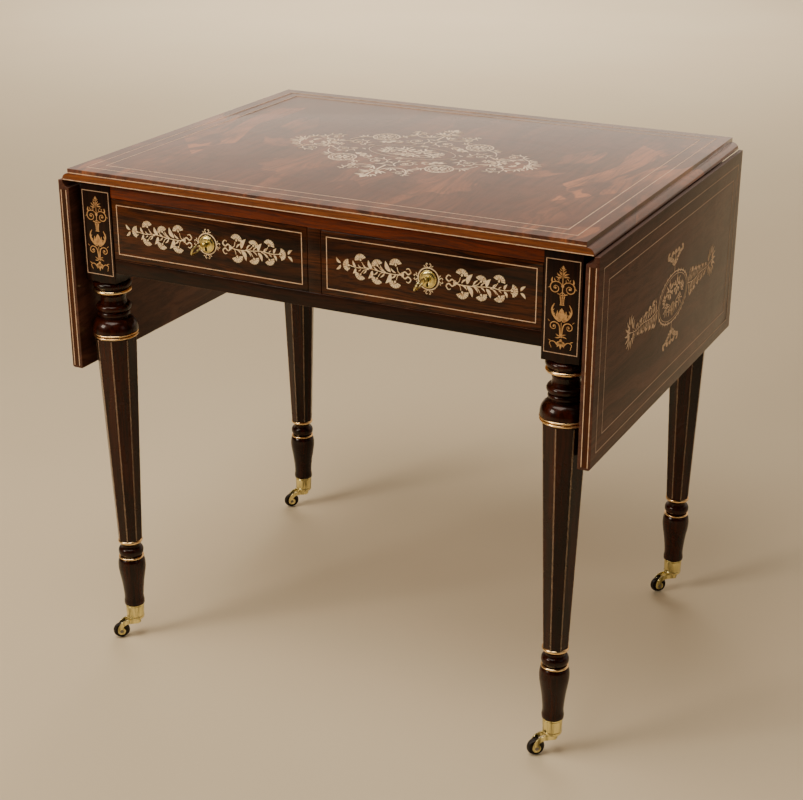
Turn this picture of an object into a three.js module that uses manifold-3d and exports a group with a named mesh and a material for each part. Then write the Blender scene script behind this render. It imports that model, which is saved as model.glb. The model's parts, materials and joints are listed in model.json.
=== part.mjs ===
// A drop-leaf sewing table in rosewood: a fixed top with a hinged leaf at each end, two locking
// drawers side by side in the frieze, and four turned and faceted legs on brass cup casters.
//
// Millimetres, +Z up. The drawers face -Y and +X is the viewer's right. Everything is drawn about
// the centre of the fixed top, then moved so that the origin is under the middle of the whole
// object, the keys standing in the drawer locks included.

import * as THREE from 'three';
import { mergeVertices } from 'three/addons/utils/BufferGeometryUtils.js';
import Module from 'manifold-3d';

const wasm = await Module();
wasm.setup();

// ---------------------------------------------------------------- driving dimensions

const TABLE_HEIGHT = 740;
const TOP_WIDTH = 754; // between the fillets of the two rule joints
const TOP_DEPTH = 590;
const TOP_THICKNESS = 17;

const LEAF_LENGTH = 275; // from the hinge line to the free edge
const LEAF_EDGE_ROUND = 3;
const RULE_FILLET = 7; // upright lip above the ovolo of the rule joint
const RULE_GAP = 0.5;
const RULE_STEPS = 6;

const FIT_GAP = 0.3; // between glued or seated pieces
const SIDES = 12; // facets of small round pieces

const HINGE_INSET = 115; // from the front or back edge of the top to the middle of a hinge
const HINGE_LENGTH = 36;
const HINGE_KNUCKLE = 12;
const HINGE_BARREL_RADIUS = 3;
const HINGE_PIN_RADIUS = 1.3;
const HINGE_BORE_GAP = 0.5;
const HINGE_PLATE = 1.6;
const HINGE_TOP_REACH = 26;
const HINGE_LEAF_REACH = 60;

const LEG_BLOCK = 50; // square
const LEG_BLOCK_HEIGHT = 144;
const LEG_INSET_X = 33.5; // leg axis in from the fillet of the rule joint
const LEG_INSET_Y = 39; // leg axis in from the front or back edge of the top
const LEG_SIDES = 12;
const SHAFT_FACETS = 8;
const SHAFT_TOP_RADIUS = 30;
const SHAFT_FOOT_RADIUS = 18;
const SHAFT_FOOT_Z = 168.5;
const COLLAR_HEIGHT = 87; // turned collar between the block and the faceted shaft
const FACET_TURN = { front_left: 22.5, front_right: 0, back_left: 0, back_right: -10 };

const REVEAL = 1; // rails and drawer fronts stand back this much from the leg blocks
const RAIL_THICKNESS = 18; // rails, divider, back apron and drawer fronts
const TOP_RAIL_HEIGHT = 20.7;
const BOTTOM_RAIL_HEIGHT = 20.5;
const DRAWER_OPENING_HEIGHT = 87.3;
const DIVIDER_WIDTH = 19;
const SIDE_APRON_THICKNESS = 20;
const SIDE_APRON_REVEAL = 2;
const TENON_LENGTH = 12;
const TENON_THICKNESS = 8;
const TENON_SHOULDER = 3;
const TENON_ROOT = 1; // how far a tenon's block is drawn into its own rail

const RUNNER_TOP_RISE = 2.5; // drawers run this much above the bottom rail
const RUNNER_HEIGHT = 20.5;
const RUNNER_LEDGE = 18; // reach of a runner beyond the leg block or the divider
const GUIDE_RISE = 22;
const GUIDE_GAP = 0.8;

const DRAWER_LENGTH = 440;
const DRAWER_GAP = 1;
const DRAWER_SIDE_THICKNESS = 9;
const DRAWER_SIDE_DROP = 10.5; // below the top rail
const DRAWER_SIDE_INSET = 2;
const DRAWER_BOTTOM_THICKNESS = 5;
const DRAWER_BOTTOM_RISE = 4.2;
const DRAWER_GROOVE = 4;
const DRAWER_BACK_DROP = 4;
const DOVETAIL_COUNT = 3;
const DOVETAIL_LENGTH = 12;
const DOVETAIL_ROOT = 13;
const DOVETAIL_TIP = 18;

const LOCK_WIDTH = 44;
const LOCK_FOOT_DROP = 17.5; // lock case below the key's axis
const LOCK_DEPTH = 9;
const LOCK_WALL = 1.5;
const BOLT_WIDTH = 22;
const BOLT_KEY_GAP = 4.6; // between the resting bolt and the circle that the key's bit sweeps
const BOLT_THICKNESS = 4;
const BOLT_THROW = 7;
const BOLT_GAP = 0.4;
const KEYHOLE_RADIUS = 3.4;
const KEYHOLE_SLOT = 3;

const KEY_REST_TURN = 30; // degrees past upright, where the bit passes the keyhole
const KEY_SHAFT_RADIUS = 2.6;
const KEY_BIT_REACH = 9;
const KEY_BIT_WIDTH = 5;
const KEY_BIT_THICKNESS = 2;
const KEY_COLLAR_RADIUS = 4;
const KEY_BOW_LENGTH = 24;
const KEY_BOW_HEIGHT = 20;
const KEY_BOW_BAND = 3.6;
const KEY_BOW_THICKNESS = 3;
const KEY_STAND_OFF = 14; // drawer front to the near side of the bow

const ESCUTCHEON_RADIUS = 11.8;
const ESCUTCHEON_HEIGHT = 4.2;
const ESCUTCHEON_RIM = 0.8;
const ESCUTCHEON_SIDES = 20;

const BRACKET_HINGE_GAP = 37; // along the apron, between a bracket's end and a hinge
const BRACKET_HEIGHT = 60;
const BRACKET_THICKNESS = 13.5;
const BRACKET_NOSE = 18;
const BRACKET_PIN_RADIUS = 3;
const BRACKET_PIN_LENGTH = 6;

const WHEEL_RADIUS = 12.5;
const WHEEL_WIDTH = 9;
const WHEEL_SIDES = 16;
const AXLE_RADIUS = 2;
const AXLE_BORE_GAP = 0.4;
const WHEEL_NECK_GAP = 2;
const WHEEL_CUP_GAP = 6.5;
const CASTER_TURN = 218; // way the casters trail, anticlockwise from +X
const CHEEK_THICKNESS = 2.4;
const CHEEK_GAP = 0.7;
const CHEEK_END_RADIUS = 6;
const NECK_RADIUS = 8;
const NECK_RISE = 11.5; // underside of the neck above the axle
const CUP_HEIGHT = 26.5;
const CUP_FLOOR = 2;
const CUP_WALL = 1.5;
const CUP_RADIUS = 14.2;
const FOOT_OVERHANG = 1; // the foot of the leg stands out over the cup's rim
const SWIVEL_PIN_RADIUS = 2.3;
const SWIVEL_HEAD_RADIUS = 4.5;
const SWIVEL_HEAD_HEIGHT = 2;

// ---------------------------------------------------------------- worked-out places

const HALF_TOP = TOP_WIDTH / 2;
const FRONT_EDGE = -TOP_DEPTH / 2;
const BACK_EDGE = TOP_DEPTH / 2;
const UNDERSIDE = TABLE_HEIGHT - TOP_THICKNESS;
const RULE_RADIUS = TOP_THICKNESS - RULE_FILLET;
const HINGE_Y = TOP_DEPTH / 2 - HINGE_INSET;

const LEG_X = HALF_TOP - LEG_INSET_X;
const LEG_Y = TOP_DEPTH / 2 - LEG_INSET_Y;
const BLOCK_HALF = LEG_BLOCK / 2;
const BLOCK_INNER_X = LEG_X - BLOCK_HALF;
const BLOCK_OUTER_X = LEG_X + BLOCK_HALF;
const BLOCK_FRONT = -LEG_Y - BLOCK_HALF;
const BLOCK_INNER_Y = LEG_Y - BLOCK_HALF;
const FRAME_TOP = UNDERSIDE - FIT_GAP;
const BLOCK_BOTTOM = FRAME_TOP - LEG_BLOCK_HEIGHT;
const SHAFT_TOP_Z = BLOCK_BOTTOM - COLLAR_HEIGHT;

const FACE_Y = BLOCK_FRONT + REVEAL; // drawer fronts and rails
const RAIL_BACK = FACE_Y + RAIL_THICKNESS;
const TOP_RAIL_BOTTOM = FRAME_TOP - TOP_RAIL_HEIGHT;
const BOTTOM_RAIL_TOP = TOP_RAIL_BOTTOM - DRAWER_OPENING_HEIGHT;
const BOTTOM_RAIL_BOTTOM = BOTTOM_RAIL_TOP - BOTTOM_RAIL_HEIGHT;
const RAIL_END_X = BLOCK_INNER_X - FIT_GAP;
const BACK_APRON_INNER = -RAIL_BACK;
const APRON_OUTER_X = BLOCK_OUTER_X - SIDE_APRON_REVEAL;
const APRON_INNER_X = APRON_OUTER_X - SIDE_APRON_THICKNESS;

const RUNNER_TOP = BOTTOM_RAIL_TOP + RUNNER_TOP_RISE;
const DRAWER_INNER_X = DIVIDER_WIDTH / 2 + DRAWER_GAP;
const DRAWER_OUTER_X = BLOCK_INNER_X - DRAWER_GAP;
const DRAWER_MIDDLE_X = (DRAWER_INNER_X + DRAWER_OUTER_X) / 2;
const DRAWER_HALF = (DRAWER_OUTER_X - DRAWER_INNER_X) / 2;
const FRONT_BOTTOM = BOTTOM_RAIL_TOP + DRAWER_GAP;
const FRONT_TOP = TOP_RAIL_BOTTOM - DRAWER_GAP;
const FRONT_BACK_Y = RAIL_BACK;
const DRAWER_END_Y = FACE_Y + DRAWER_LENGTH;
const SIDE_OUTER = DRAWER_HALF - DRAWER_SIDE_INSET;
const SIDE_INNER = SIDE_OUTER - DRAWER_SIDE_THICKNESS;
const SIDE_BOTTOM = RUNNER_TOP + FIT_GAP;
const SIDE_TOP = TOP_RAIL_BOTTOM - DRAWER_SIDE_DROP;
const FLOOR_BOTTOM = SIDE_BOTTOM + DRAWER_BOTTOM_RISE;
const FLOOR_TOP = FLOOR_BOTTOM + DRAWER_BOTTOM_THICKNESS;
const KEY_Z = (FRONT_BOTTOM + FRONT_TOP) / 2;
const LOCK_FRONT_Y = FRONT_BACK_Y - LOCK_DEPTH;
const BOLT_MIDDLE_Y = LOCK_FRONT_Y + LOCK_DEPTH / 2;
const LOCK_TOP = FRONT_TOP - FIT_GAP;
const LOCK_BOTTOM = KEY_Z - LOCK_FOOT_DROP;
const BOLT_X = [-BOLT_WIDTH / 2, BOLT_WIDTH / 2];
const BOLT_Y = [BOLT_MIDDLE_Y - BOLT_THICKNESS / 2, BOLT_MIDDLE_Y + BOLT_THICKNESS / 2];
const BOLT_TOP = LOCK_TOP - LOCK_WALL / 2;
const BOLT_BOTTOM = KEY_Z + KEY_BIT_REACH + BOLT_KEY_GAP;
const BOW_MIDDLE_Y = FACE_Y - KEY_STAND_OFF - KEY_BOW_LENGTH / 2;
const KEY_TIP_Y = BOW_MIDDLE_Y - KEY_BOW_LENGTH / 2;
const MIDDLE_Y = (KEY_TIP_Y + BACK_EDGE) / 2;

const CASTER_TRAIL = NECK_RADIUS + WHEEL_RADIUS + WHEEL_NECK_GAP; // swivel axis to axle
const NECK_BOTTOM_Z = WHEEL_RADIUS + NECK_RISE;
const CUP_BOTTOM_Z = 2 * WHEEL_RADIUS + WHEEL_CUP_GAP;
const CUP_TOP_Z = CUP_BOTTOM_Z + CUP_HEIGHT;
const FOOT_FLARE_RADIUS = CUP_RADIUS + FOOT_OVERHANG;
const SPIGOT_RADIUS = CUP_RADIUS - CUP_WALL - FIT_GAP;
const SPIGOT_BOTTOM_Z = CUP_BOTTOM_Z + CUP_FLOOR + SWIVEL_HEAD_HEIGHT + 3 * FIT_GAP;

// ---------------------------------------------------------------- finishes

const finish = (color, roughness, metalness = 0) =>
  new THREE.MeshStandardMaterial({ color, roughness, metalness });

const FINISH = {
  rosewood: finish(0x3a1d10, 0.3),
  secondary: finish(0x8a6038, 0.7),
  brass: finish(0xc9a24e, 0.35, 1),
  steel: finish(0x77736b, 0.45, 1),
  ebony: finish(0x1c1714, 0.55),
};

// ---------------------------------------------------------------- solid helpers

/** A closed three.js geometry as a manifold solid. */
function solidOf(geometry) {
  const bare = geometry.clone();
  bare.deleteAttribute('normal');
  bare.deleteAttribute('uv');
  const merged = mergeVertices(bare, 1e-4);
  return new wasm.Manifold(
    new wasm.Mesh({
      numProp: 3,
      vertProperties: new Float32Array(merged.attributes.position.array),
      triVerts: new Uint32Array(merged.index.array),
    }),
  );
}

/** A manifold solid as an indexed three.js geometry. */
function geometryOf(solid) {
  const mesh = solid.getMesh();
  const geometry = new THREE.BufferGeometry();
  geometry.setAttribute('position', new THREE.BufferAttribute(mesh.vertProperties, 3));
  geometry.setIndex(new THREE.BufferAttribute(mesh.triVerts, 1));
  geometry.computeVertexNormals();
  return geometry;
}

const join = (first, ...rest) => rest.reduce((sum, each) => sum.add(each), first);
const cut = (body, ...tools) => tools.reduce((left, each) => left.subtract(each), body);

/** A box between two corners, given as ranges in any order. */
function block([xa, xb], [ya, yb], [za, zb]) {
  const geometry = new THREE.BoxGeometry(Math.abs(xb - xa), Math.abs(yb - ya), Math.abs(zb - za));
  geometry.translate((xa + xb) / 2, (ya + yb) / 2, (za + zb) / 2);
  return solidOf(geometry);
}

/** The same range made longer by a gap at both ends. */
function grown([a, b], gap = FIT_GAP) {
  return [Math.min(a, b) - gap, Math.max(a, b) + gap];
}

const grownBlock = (ranges, gap = FIT_GAP) => block(...ranges.map((range) => grown(range, gap)));

/** A round bar along one axis: 'x', 'y' or 'z'. */
function rod(axis, radius, [from, to], [u, v], sides = SIDES) {
  const geometry = new THREE.CylinderGeometry(radius, radius, Math.abs(to - from), sides);
  const middle = (from + to) / 2;
  if (axis === 'x') {
    geometry.rotateZ(Math.PI / 2);
    geometry.translate(middle, u, v);
  } else if (axis === 'y') {
    geometry.translate(u, middle, v);
  } else {
    geometry.rotateX(Math.PI / 2);
    geometry.translate(u, v, middle);
  }
  return solidOf(geometry);
}

/** A turned solid about the Z axis from [radius, z] points. */
function turned(points, sides) {
  const geometry = new THREE.LatheGeometry(
    points.map(([radius, z]) => new THREE.Vector2(radius, z)),
    sides,
  );
  geometry.rotateX(Math.PI / 2);
  return solidOf(geometry);
}

/** A flat outline given as [u, v] points, made `length` thick along +Z. */
function extruded(outline, length, holes = []) {
  const shape = new THREE.Shape(outline.map(([u, v]) => new THREE.Vector2(u, v)));
  for (const hole of holes) {
    shape.holes.push(new THREE.Path(hole.map(([u, v]) => new THREE.Vector2(u, v))));
  }
  return new THREE.ExtrudeGeometry(shape, { depth: length, bevelEnabled: false });
}

/** An outline in X and Z, run along Y between two places. */
function runAlongY(outline, [from, to]) {
  const geometry = extruded(outline, Math.abs(to - from));
  geometry.rotateX(Math.PI / 2);
  geometry.translate(0, Math.max(from, to), 0);
  return solidOf(geometry);
}

/** An outline in Y and Z, run along X between two places. */
function runAlongX(outline, [from, to], holes = []) {
  const geometry = extruded(outline, Math.abs(to - from), holes);
  geometry.rotateY(Math.PI / 2);
  geometry.rotateX(Math.PI / 2);
  geometry.translate(Math.min(from, to), 0, 0);
  return solidOf(geometry);
}

/** Points of an arc about [cu, cv], from one angle to another in degrees. */
function arc([cu, cv], radius, from, to, steps) {
  return Array.from({ length: steps + 1 }, (_, i) => {
    const angle = THREE.MathUtils.degToRad(from + ((to - from) * i) / steps);
    return [cu + radius * Math.cos(angle), cv + radius * Math.sin(angle)];
  });
}

/** A whole ellipse about [cu, cv]. */
function ellipse([cu, cv], radiusU, radiusV, steps) {
  return Array.from({ length: steps }, (_, i) => {
    const angle = (2 * Math.PI * i) / steps;
    return [cu + radiusU * Math.cos(angle), cv + radiusV * Math.sin(angle)];
  });
}

/** A half-round bead of a turned profile, from one height to the next. */
function bead(from, to, root, crest, steps = 3) {
  return Array.from({ length: steps + 1 }, (_, i) => {
    const angle = (Math.PI * i) / steps;
    return [
      root + (crest - root) * Math.sin(angle),
      from + ((to - from) * (1 - Math.cos(angle))) / 2,
    ];
  });
}

/** A quarter-round sweep of a turned profile that leaves upright and arrives level, or back. */
function sweep([startRadius, startZ], [endRadius, endZ], steps = 4, uprightFirst = true) {
  return Array.from({ length: steps + 1 }, (_, i) => {
    const angle = ((Math.PI / 2) * i) / steps;
    const across = uprightFirst ? 1 - Math.cos(angle) : Math.sin(angle);
    const along = uprightFirst ? Math.sin(angle) : 1 - Math.cos(angle);
    return [startRadius + (endRadius - startRadius) * across, startZ + (endZ - startZ) * along];
  });
}

/** A named mesh of one solid, added to a group. */
function addPiece(group, name, solid, material) {
  const mesh = new THREE.Mesh(geometryOf(solid), material.clone());
  mesh.name = name;
  group.add(mesh);
}

/** A group inside another at a place. */
function groupAt(parent, x, y, z) {
  const group = new THREE.Group();
  group.position.set(x, y, z);
  parent.add(group);
  return group;
}

const ENDS = [
  { side: 'left', sx: -1 },
  { side: 'right', sx: 1 },
];
const CORNERS = ENDS.flatMap(({ side, sx }) => [
  { corner: `front_${side}`, sx, sy: -1 },
  { corner: `back_${side}`, sx, sy: 1 },
]);
const HINGES = [
  { place: 'front', y: -HINGE_Y },
  { place: 'back', y: HINGE_Y },
];

// ---------------------------------------------------------------- rails, aprons and divider

/** Tenon at one end of a rail or apron that runs along X. */
function endTenonX(sx, [y0, y1], [z0, z1]) {
  const middle = (y0 + y1) / 2;
  return [
    [sx * (RAIL_END_X - TENON_ROOT), sx * (RAIL_END_X + TENON_LENGTH)],
    [middle - TENON_THICKNESS / 2, middle + TENON_THICKNESS / 2],
    [z0 + TENON_SHOULDER, z1 - TENON_SHOULDER],
  ];
}

/** Tenon at one end of a side apron. */
function endTenonY(sx, sy) {
  const middle = (sx * (APRON_OUTER_X + APRON_INNER_X)) / 2;
  const end = sy * (BLOCK_INNER_Y - FIT_GAP);
  return [
    [middle - TENON_THICKNESS / 2, middle + TENON_THICKNESS / 2],
    [end - sy * TENON_ROOT, end + sy * TENON_LENGTH],
    [BOTTOM_RAIL_BOTTOM + TENON_SHOULDER, FRAME_TOP - BRACKET_HEIGHT - 2 * TENON_SHOULDER],
  ];
}

const FRONT_Y = [FACE_Y, RAIL_BACK];
const BACK_Y = [-RAIL_BACK, -FACE_Y];
const TOP_RAIL_Z = [TOP_RAIL_BOTTOM, FRAME_TOP];
const BOTTOM_RAIL_Z = [BOTTOM_RAIL_BOTTOM, BOTTOM_RAIL_TOP];
const APRON_Z = [BOTTOM_RAIL_BOTTOM, FRAME_TOP];

/** Tenon at the top or bottom of the divider between the drawers. */
function dividerTenon(top) {
  const middle = (FACE_Y + RAIL_BACK) / 2;
  const up = top ? 1 : -1;
  const shoulder = top ? TOP_RAIL_BOTTOM - FIT_GAP : BOTTOM_RAIL_TOP + FIT_GAP;
  return [
    [-DIVIDER_WIDTH / 2 + TENON_SHOULDER, DIVIDER_WIDTH / 2 - TENON_SHOULDER],
    [middle - TENON_THICKNESS / 2, middle + TENON_THICKNESS / 2],
    [shoulder - up * TENON_ROOT, shoulder + up * TENON_LENGTH],
  ];
}

/** A straight rail between two leg blocks with a tenon at each end. */
function railBetweenBlocks(yRange, zRange) {
  return join(
    block([-RAIL_END_X, RAIL_END_X], yRange, zRange),
    ...ENDS.map(({ sx }) => block(...endTenonX(sx, yRange, zRange))),
  );
}

/** Mortise in the top rail that a drawer's bolt rises into. */
function boltMortise(sx) {
  const x = sx * DRAWER_MIDDLE_X;
  return block(
    grown([x - BOLT_WIDTH / 2, x + BOLT_WIDTH / 2], 1),
    grown([BOLT_MIDDLE_Y - BOLT_THICKNESS / 2, BOLT_MIDDLE_Y + BOLT_THICKNESS / 2], 1),
    [TOP_RAIL_BOTTOM - 1, TOP_RAIL_BOTTOM + BOLT_THROW],
  );
}

function addRails(table) {
  const topRail = cut(
    railBetweenBlocks(FRONT_Y, TOP_RAIL_Z),
    grownBlock(dividerTenon(true)),
    ...ENDS.map(({ sx }) => boltMortise(sx)),
  );
  const bottomRail = cut(
    railBetweenBlocks(FRONT_Y, BOTTOM_RAIL_Z),
    grownBlock(dividerTenon(false)),
  );
  const divider = join(
    block(
      [-DIVIDER_WIDTH / 2, DIVIDER_WIDTH / 2],
      FRONT_Y,
      [BOTTOM_RAIL_TOP + FIT_GAP, TOP_RAIL_BOTTOM - FIT_GAP],
    ),
    block(...dividerTenon(true)),
    block(...dividerTenon(false)),
  );
  addPiece(table, 'front_top_rail', topRail, FINISH.rosewood);
  addPiece(table, 'front_bottom_rail', bottomRail, FINISH.rosewood);
  addPiece(table, 'drawer_divider', divider, FINISH.rosewood);
  addPiece(table, 'back_apron', railBetweenBlocks(BACK_Y, APRON_Z), FINISH.rosewood);
}

// ---------------------------------------------------------------- side aprons and leaf brackets

const BRACKET_END_Y = HINGE_Y - HINGE_LENGTH / 2 - BRACKET_HINGE_GAP;
const BRACKET_Y = [-BRACKET_END_Y, BRACKET_END_Y];
const BRACKET_Z = [FRAME_TOP - BRACKET_HEIGHT, FRAME_TOP];
const BRACKET_PIN_Y = BRACKET_END_Y - BRACKET_THICKNESS / 2;

/** Across the apron, the bracket lies flush with its outer face. */
function bracketRangeX(sx) {
  return [sx * (APRON_OUTER_X - BRACKET_THICKNESS), sx * APRON_OUTER_X];
}

/** The two pintles of a bracket as one upright bar, made wider by a gap for its holes. */
function bracketPintle(sx, gap = 0) {
  const middle = sx * (APRON_OUTER_X - BRACKET_THICKNESS / 2);
  const ends = [BRACKET_Z[0] - BRACKET_PIN_LENGTH, BRACKET_Z[1] + BRACKET_PIN_LENGTH];
  return rod('z', BRACKET_PIN_RADIUS + gap, grown(ends, gap), [middle, BRACKET_PIN_Y]);
}

/** A wooden arm with a swept nose, which turns out on its pintles to hold up a raised leaf. */
function leafBracket(sx) {
  const [front, back] = BRACKET_Y;
  const [bottom, top] = BRACKET_Z;
  const reach = BRACKET_HEIGHT - BRACKET_NOSE;
  const outline = [
    [back, bottom],
    [back, top],
    [front, top],
    [front, top - BRACKET_NOSE],
    ...arc([front, bottom], reach, 90, 0, 8),
  ];
  return join(runAlongX(outline, bracketRangeX(sx)), bracketPintle(sx));
}

function addSideAprons(table) {
  for (const { side, sx } of ENDS) {
    const [inner] = bracketRangeX(sx);
    const apron = cut(
      join(
        block(
          [sx * APRON_INNER_X, sx * APRON_OUTER_X],
          [-BLOCK_INNER_Y + FIT_GAP, BLOCK_INNER_Y - FIT_GAP],
          APRON_Z,
        ),
        block(...endTenonY(sx, -1)),
        block(...endTenonY(sx, 1)),
      ),
      block(
        [inner - sx * FIT_GAP, sx * (APRON_OUTER_X + 1)],
        grown(BRACKET_Y, 1),
        [BRACKET_Z[0] - FIT_GAP, FRAME_TOP + 1],
      ),
      bracketPintle(sx, FIT_GAP),
    );
    addPiece(table, `${side}_apron`, apron, FINISH.rosewood);
    addPiece(table, `${side}_leaf_bracket`, leafBracket(sx), FINISH.secondary);
  }
}

// ---------------------------------------------------------------- fixed top, leaves and hinges

/** The top's end seen from the front: lip, ovolo, and the flat underside. */
function topOutline() {
  const ovolo = (sx) =>
    arc([0, 0], RULE_RADIUS, 90, 0, RULE_STEPS).map(([x, z]) => [
      sx * (HALF_TOP + x),
      UNDERSIDE + z,
    ]);
  return [
    [-HALF_TOP, TABLE_HEIGHT],
    [HALF_TOP, TABLE_HEIGHT],
    ...ovolo(1),
    ...ovolo(-1).reverse(),
  ];
}

/** The pocket in the underside that a hinge's top plate and barrel are let into. */
function hingePocket(sx, y) {
  const length = [y - HINGE_LENGTH / 2, y + HINGE_LENGTH / 2];
  return join(
    block(
      [sx * (HALF_TOP - HINGE_TOP_REACH - FIT_GAP), sx * HALF_TOP],
      grown(length),
      [UNDERSIDE - 1, UNDERSIDE + HINGE_PLATE + FIT_GAP],
    ),
    rod('y', HINGE_BARREL_RADIUS + FIT_GAP, grown(length), [sx * HALF_TOP, UNDERSIDE]),
  );
}

/** The plate screwed under the fixed top, with the two outer knuckles and the pin. */
function hingeTopPlate(sx) {
  const half = HINGE_LENGTH / 2;
  const middle = HINGE_KNUCKLE / 2;
  const clear = HINGE_BARREL_RADIUS + 2 * FIT_GAP;
  const knuckles = [
    [-half, -middle],
    [middle, half],
  ];
  return join(
    block([-sx * HINGE_TOP_REACH, -sx * clear], [-half, half], [0, HINGE_PLATE]),
    rod('y', HINGE_PIN_RADIUS, [-half + 1, half - 1], [0, 0], SIDES),
    ...knuckles.flatMap((range) => [
      rod('y', HINGE_BARREL_RADIUS, range, [0, 0]),
      block([-sx * (clear + 1), 0], range, [0, HINGE_PLATE]),
    ]),
  );
}

/** The long plate screwed to the leaf, with the middle knuckle, drawn as the leaf hangs. */
function hingeLeafPlate(sx) {
  const half = HINGE_LENGTH / 2;
  const middle = [-HINGE_KNUCKLE / 2 + FIT_GAP, HINGE_KNUCKLE / 2 - FIT_GAP];
  const clear = HINGE_BARREL_RADIUS + 2 * FIT_GAP;
  const thickness = [-sx * FIT_GAP, -sx * (FIT_GAP + HINGE_PLATE)];
  return cut(
    join(
      block(thickness, [-half, half], [-clear, -HINGE_LEAF_REACH]),
      block(thickness, middle, [-clear - 1, 0]),
      rod('y', HINGE_BARREL_RADIUS, middle, [0, 0]),
    ),
    rod('y', HINGE_PIN_RADIUS + HINGE_BORE_GAP, grown(middle, 1), [0, 0]),
  );
}

/** A leaf as it hangs, about its hinge line: cove at the top, rounded free edge at the foot. */
function leaf(sx) {
  const thickness = TOP_THICKNESS;
  const coveRadius = RULE_RADIUS + RULE_GAP;
  const lip = THREE.MathUtils.radToDeg(Math.asin(RULE_GAP / coveRadius));
  const round = LEAF_EDGE_ROUND;
  const outline = [
    ...arc([0, 0], coveRadius, -90, -lip, RULE_STEPS),
    [thickness, -RULE_GAP],
    ...arc([thickness - round, -LEAF_LENGTH + round], round, 0, -90, 3),
    [0, -LEAF_LENGTH],
  ];
  return runAlongY(outline.map(([x, z]) => [sx * x, z]), [FRONT_EDGE, BACK_EDGE]);
}

function addTopAndLeaves(table) {
  const pockets = ENDS.flatMap(({ sx }) => HINGES.map(({ y }) => hingePocket(sx, y)));
  const pintleHoles = ENDS.map(({ sx }) => bracketPintle(sx, FIT_GAP));
  const top = cut(runAlongY(topOutline(), [FRONT_EDGE, BACK_EDGE]), ...pockets, ...pintleHoles);
  addPiece(table, 'table_top', top, FINISH.rosewood);
  for (const { side, sx } of ENDS) {
    const line = groupAt(table, sx * HALF_TOP, 0, UNDERSIDE);
    addPiece(line, `${side}_leaf`, leaf(sx), FINISH.rosewood);
    for (const { place, y } of HINGES) {
      const hinge = groupAt(line, 0, y, 0);
      addPiece(hinge, `${side}_${place}_hinge_top_plate`, hingeTopPlate(sx), FINISH.brass);
      addPiece(hinge, `${side}_${place}_hinge_leaf_plate`, hingeLeafPlate(sx), FINISH.brass);
    }
  }
}

// ---------------------------------------------------------------- legs

/** The turned collar under the block: torus, ring, neck, two beads, bell and two rings. */
function collarProfile() {
  const top = BLOCK_BOTTOM;
  return [
    [0, top + 1],
    [23, top + 1],
    [23, top - 2.5],
    ...bead(top - 3, top - 12, 23.5, 27.2),
    ...bead(top - 13.5, top - 19.5, 23.5, 27, 2),
    [20, top - 24],
    [18, top - 31],
    [19, top - 35.5],
    ...bead(top - 37, top - 47, 20.5, 24.6),
    ...bead(top - 47.5, top - 55.5, 20, 22.6),
    ...sweep([19.7, top - 57.5], [32, top - 76], 4, false),
    ...bead(top - 77, top - 80.4, 31, 32.6, 2),
    ...bead(top - 81.4, top - 85, 30.6, 32.2, 2),
    [SHAFT_TOP_RADIUS * Math.cos(Math.PI / SHAFT_FACETS), SHAFT_TOP_Z],
    [0, SHAFT_TOP_Z],
  ];
}

/** The turned foot below the shaft: ring, knop, ring and vase, then the spigot in the cup. */
function footProfile() {
  return [
    [0, SHAFT_FOOT_Z + 1],
    [16.5, SHAFT_FOOT_Z + 1],
    ...bead(SHAFT_FOOT_Z, SHAFT_FOOT_Z - 6, 16.2, 18.2, 2),
    [13.6, SHAFT_FOOT_Z - 10],
    ...bead(SHAFT_FOOT_Z - 13, SHAFT_FOOT_Z - 27, 14, 18.4),
    ...bead(SHAFT_FOOT_Z - 27.8, SHAFT_FOOT_Z - 31.6, 17, 18.8, 2),
    [20.3, SHAFT_FOOT_Z - 45],
    [19.4, SHAFT_FOOT_Z - 56],
    [16.2, CUP_TOP_Z + 28],
    [FOOT_FLARE_RADIUS - 0.8, CUP_TOP_Z + 10],
    [FOOT_FLARE_RADIUS, CUP_TOP_Z + 3],
    [FOOT_FLARE_RADIUS, CUP_TOP_Z + FIT_GAP],
    [SPIGOT_RADIUS, CUP_TOP_Z + FIT_GAP],
    [SPIGOT_RADIUS, SPIGOT_BOTTOM_Z],
    [0, SPIGOT_BOTTOM_Z],
  ];
}

/** The tapering faceted shaft, turned so that its facets face the given way. */
function facetedShaft(facetTurn) {
  const geometry = new THREE.CylinderGeometry(
    SHAFT_TOP_RADIUS,
    SHAFT_FOOT_RADIUS,
    SHAFT_TOP_Z - SHAFT_FOOT_Z + 1,
    SHAFT_FACETS,
  );
  geometry.rotateX(Math.PI / 2);
  geometry.rotateZ(THREE.MathUtils.degToRad(facetTurn));
  geometry.translate(0, 0, (SHAFT_TOP_Z + SHAFT_FOOT_Z + 1) / 2);
  return solidOf(geometry);
}

/** The tenons that enter the block of one leg. */
function tenonsInto({ sx, sy }) {
  const rails =
    sy < 0
      ? [endTenonX(sx, FRONT_Y, TOP_RAIL_Z), endTenonX(sx, FRONT_Y, BOTTOM_RAIL_Z)]
      : [endTenonX(sx, BACK_Y, APRON_Z)];
  return [...rails, endTenonY(sx, sy)];
}

function addLegs(table) {
  for (const { corner, sx, sy } of CORNERS) {
    const x = sx * LEG_X;
    const y = sy * LEG_Y;
    const squareBlock = block(
      [x - BLOCK_HALF, x + BLOCK_HALF],
      [y - BLOCK_HALF, y + BLOCK_HALF],
      [BLOCK_BOTTOM, FRAME_TOP],
    );
    const mortised = cut(squareBlock, ...tenonsInto({ sx, sy }).map((each) => grownBlock(each)));
    const below = join(
      turned(collarProfile().reverse(), LEG_SIDES),
      facetedShaft(FACET_TURN[corner]),
      turned(footProfile().reverse(), LEG_SIDES),
    );
    addPiece(table, `${corner}_leg`, mortised.add(below.translate([x, y, 0])), FINISH.rosewood);
  }
}

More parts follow.
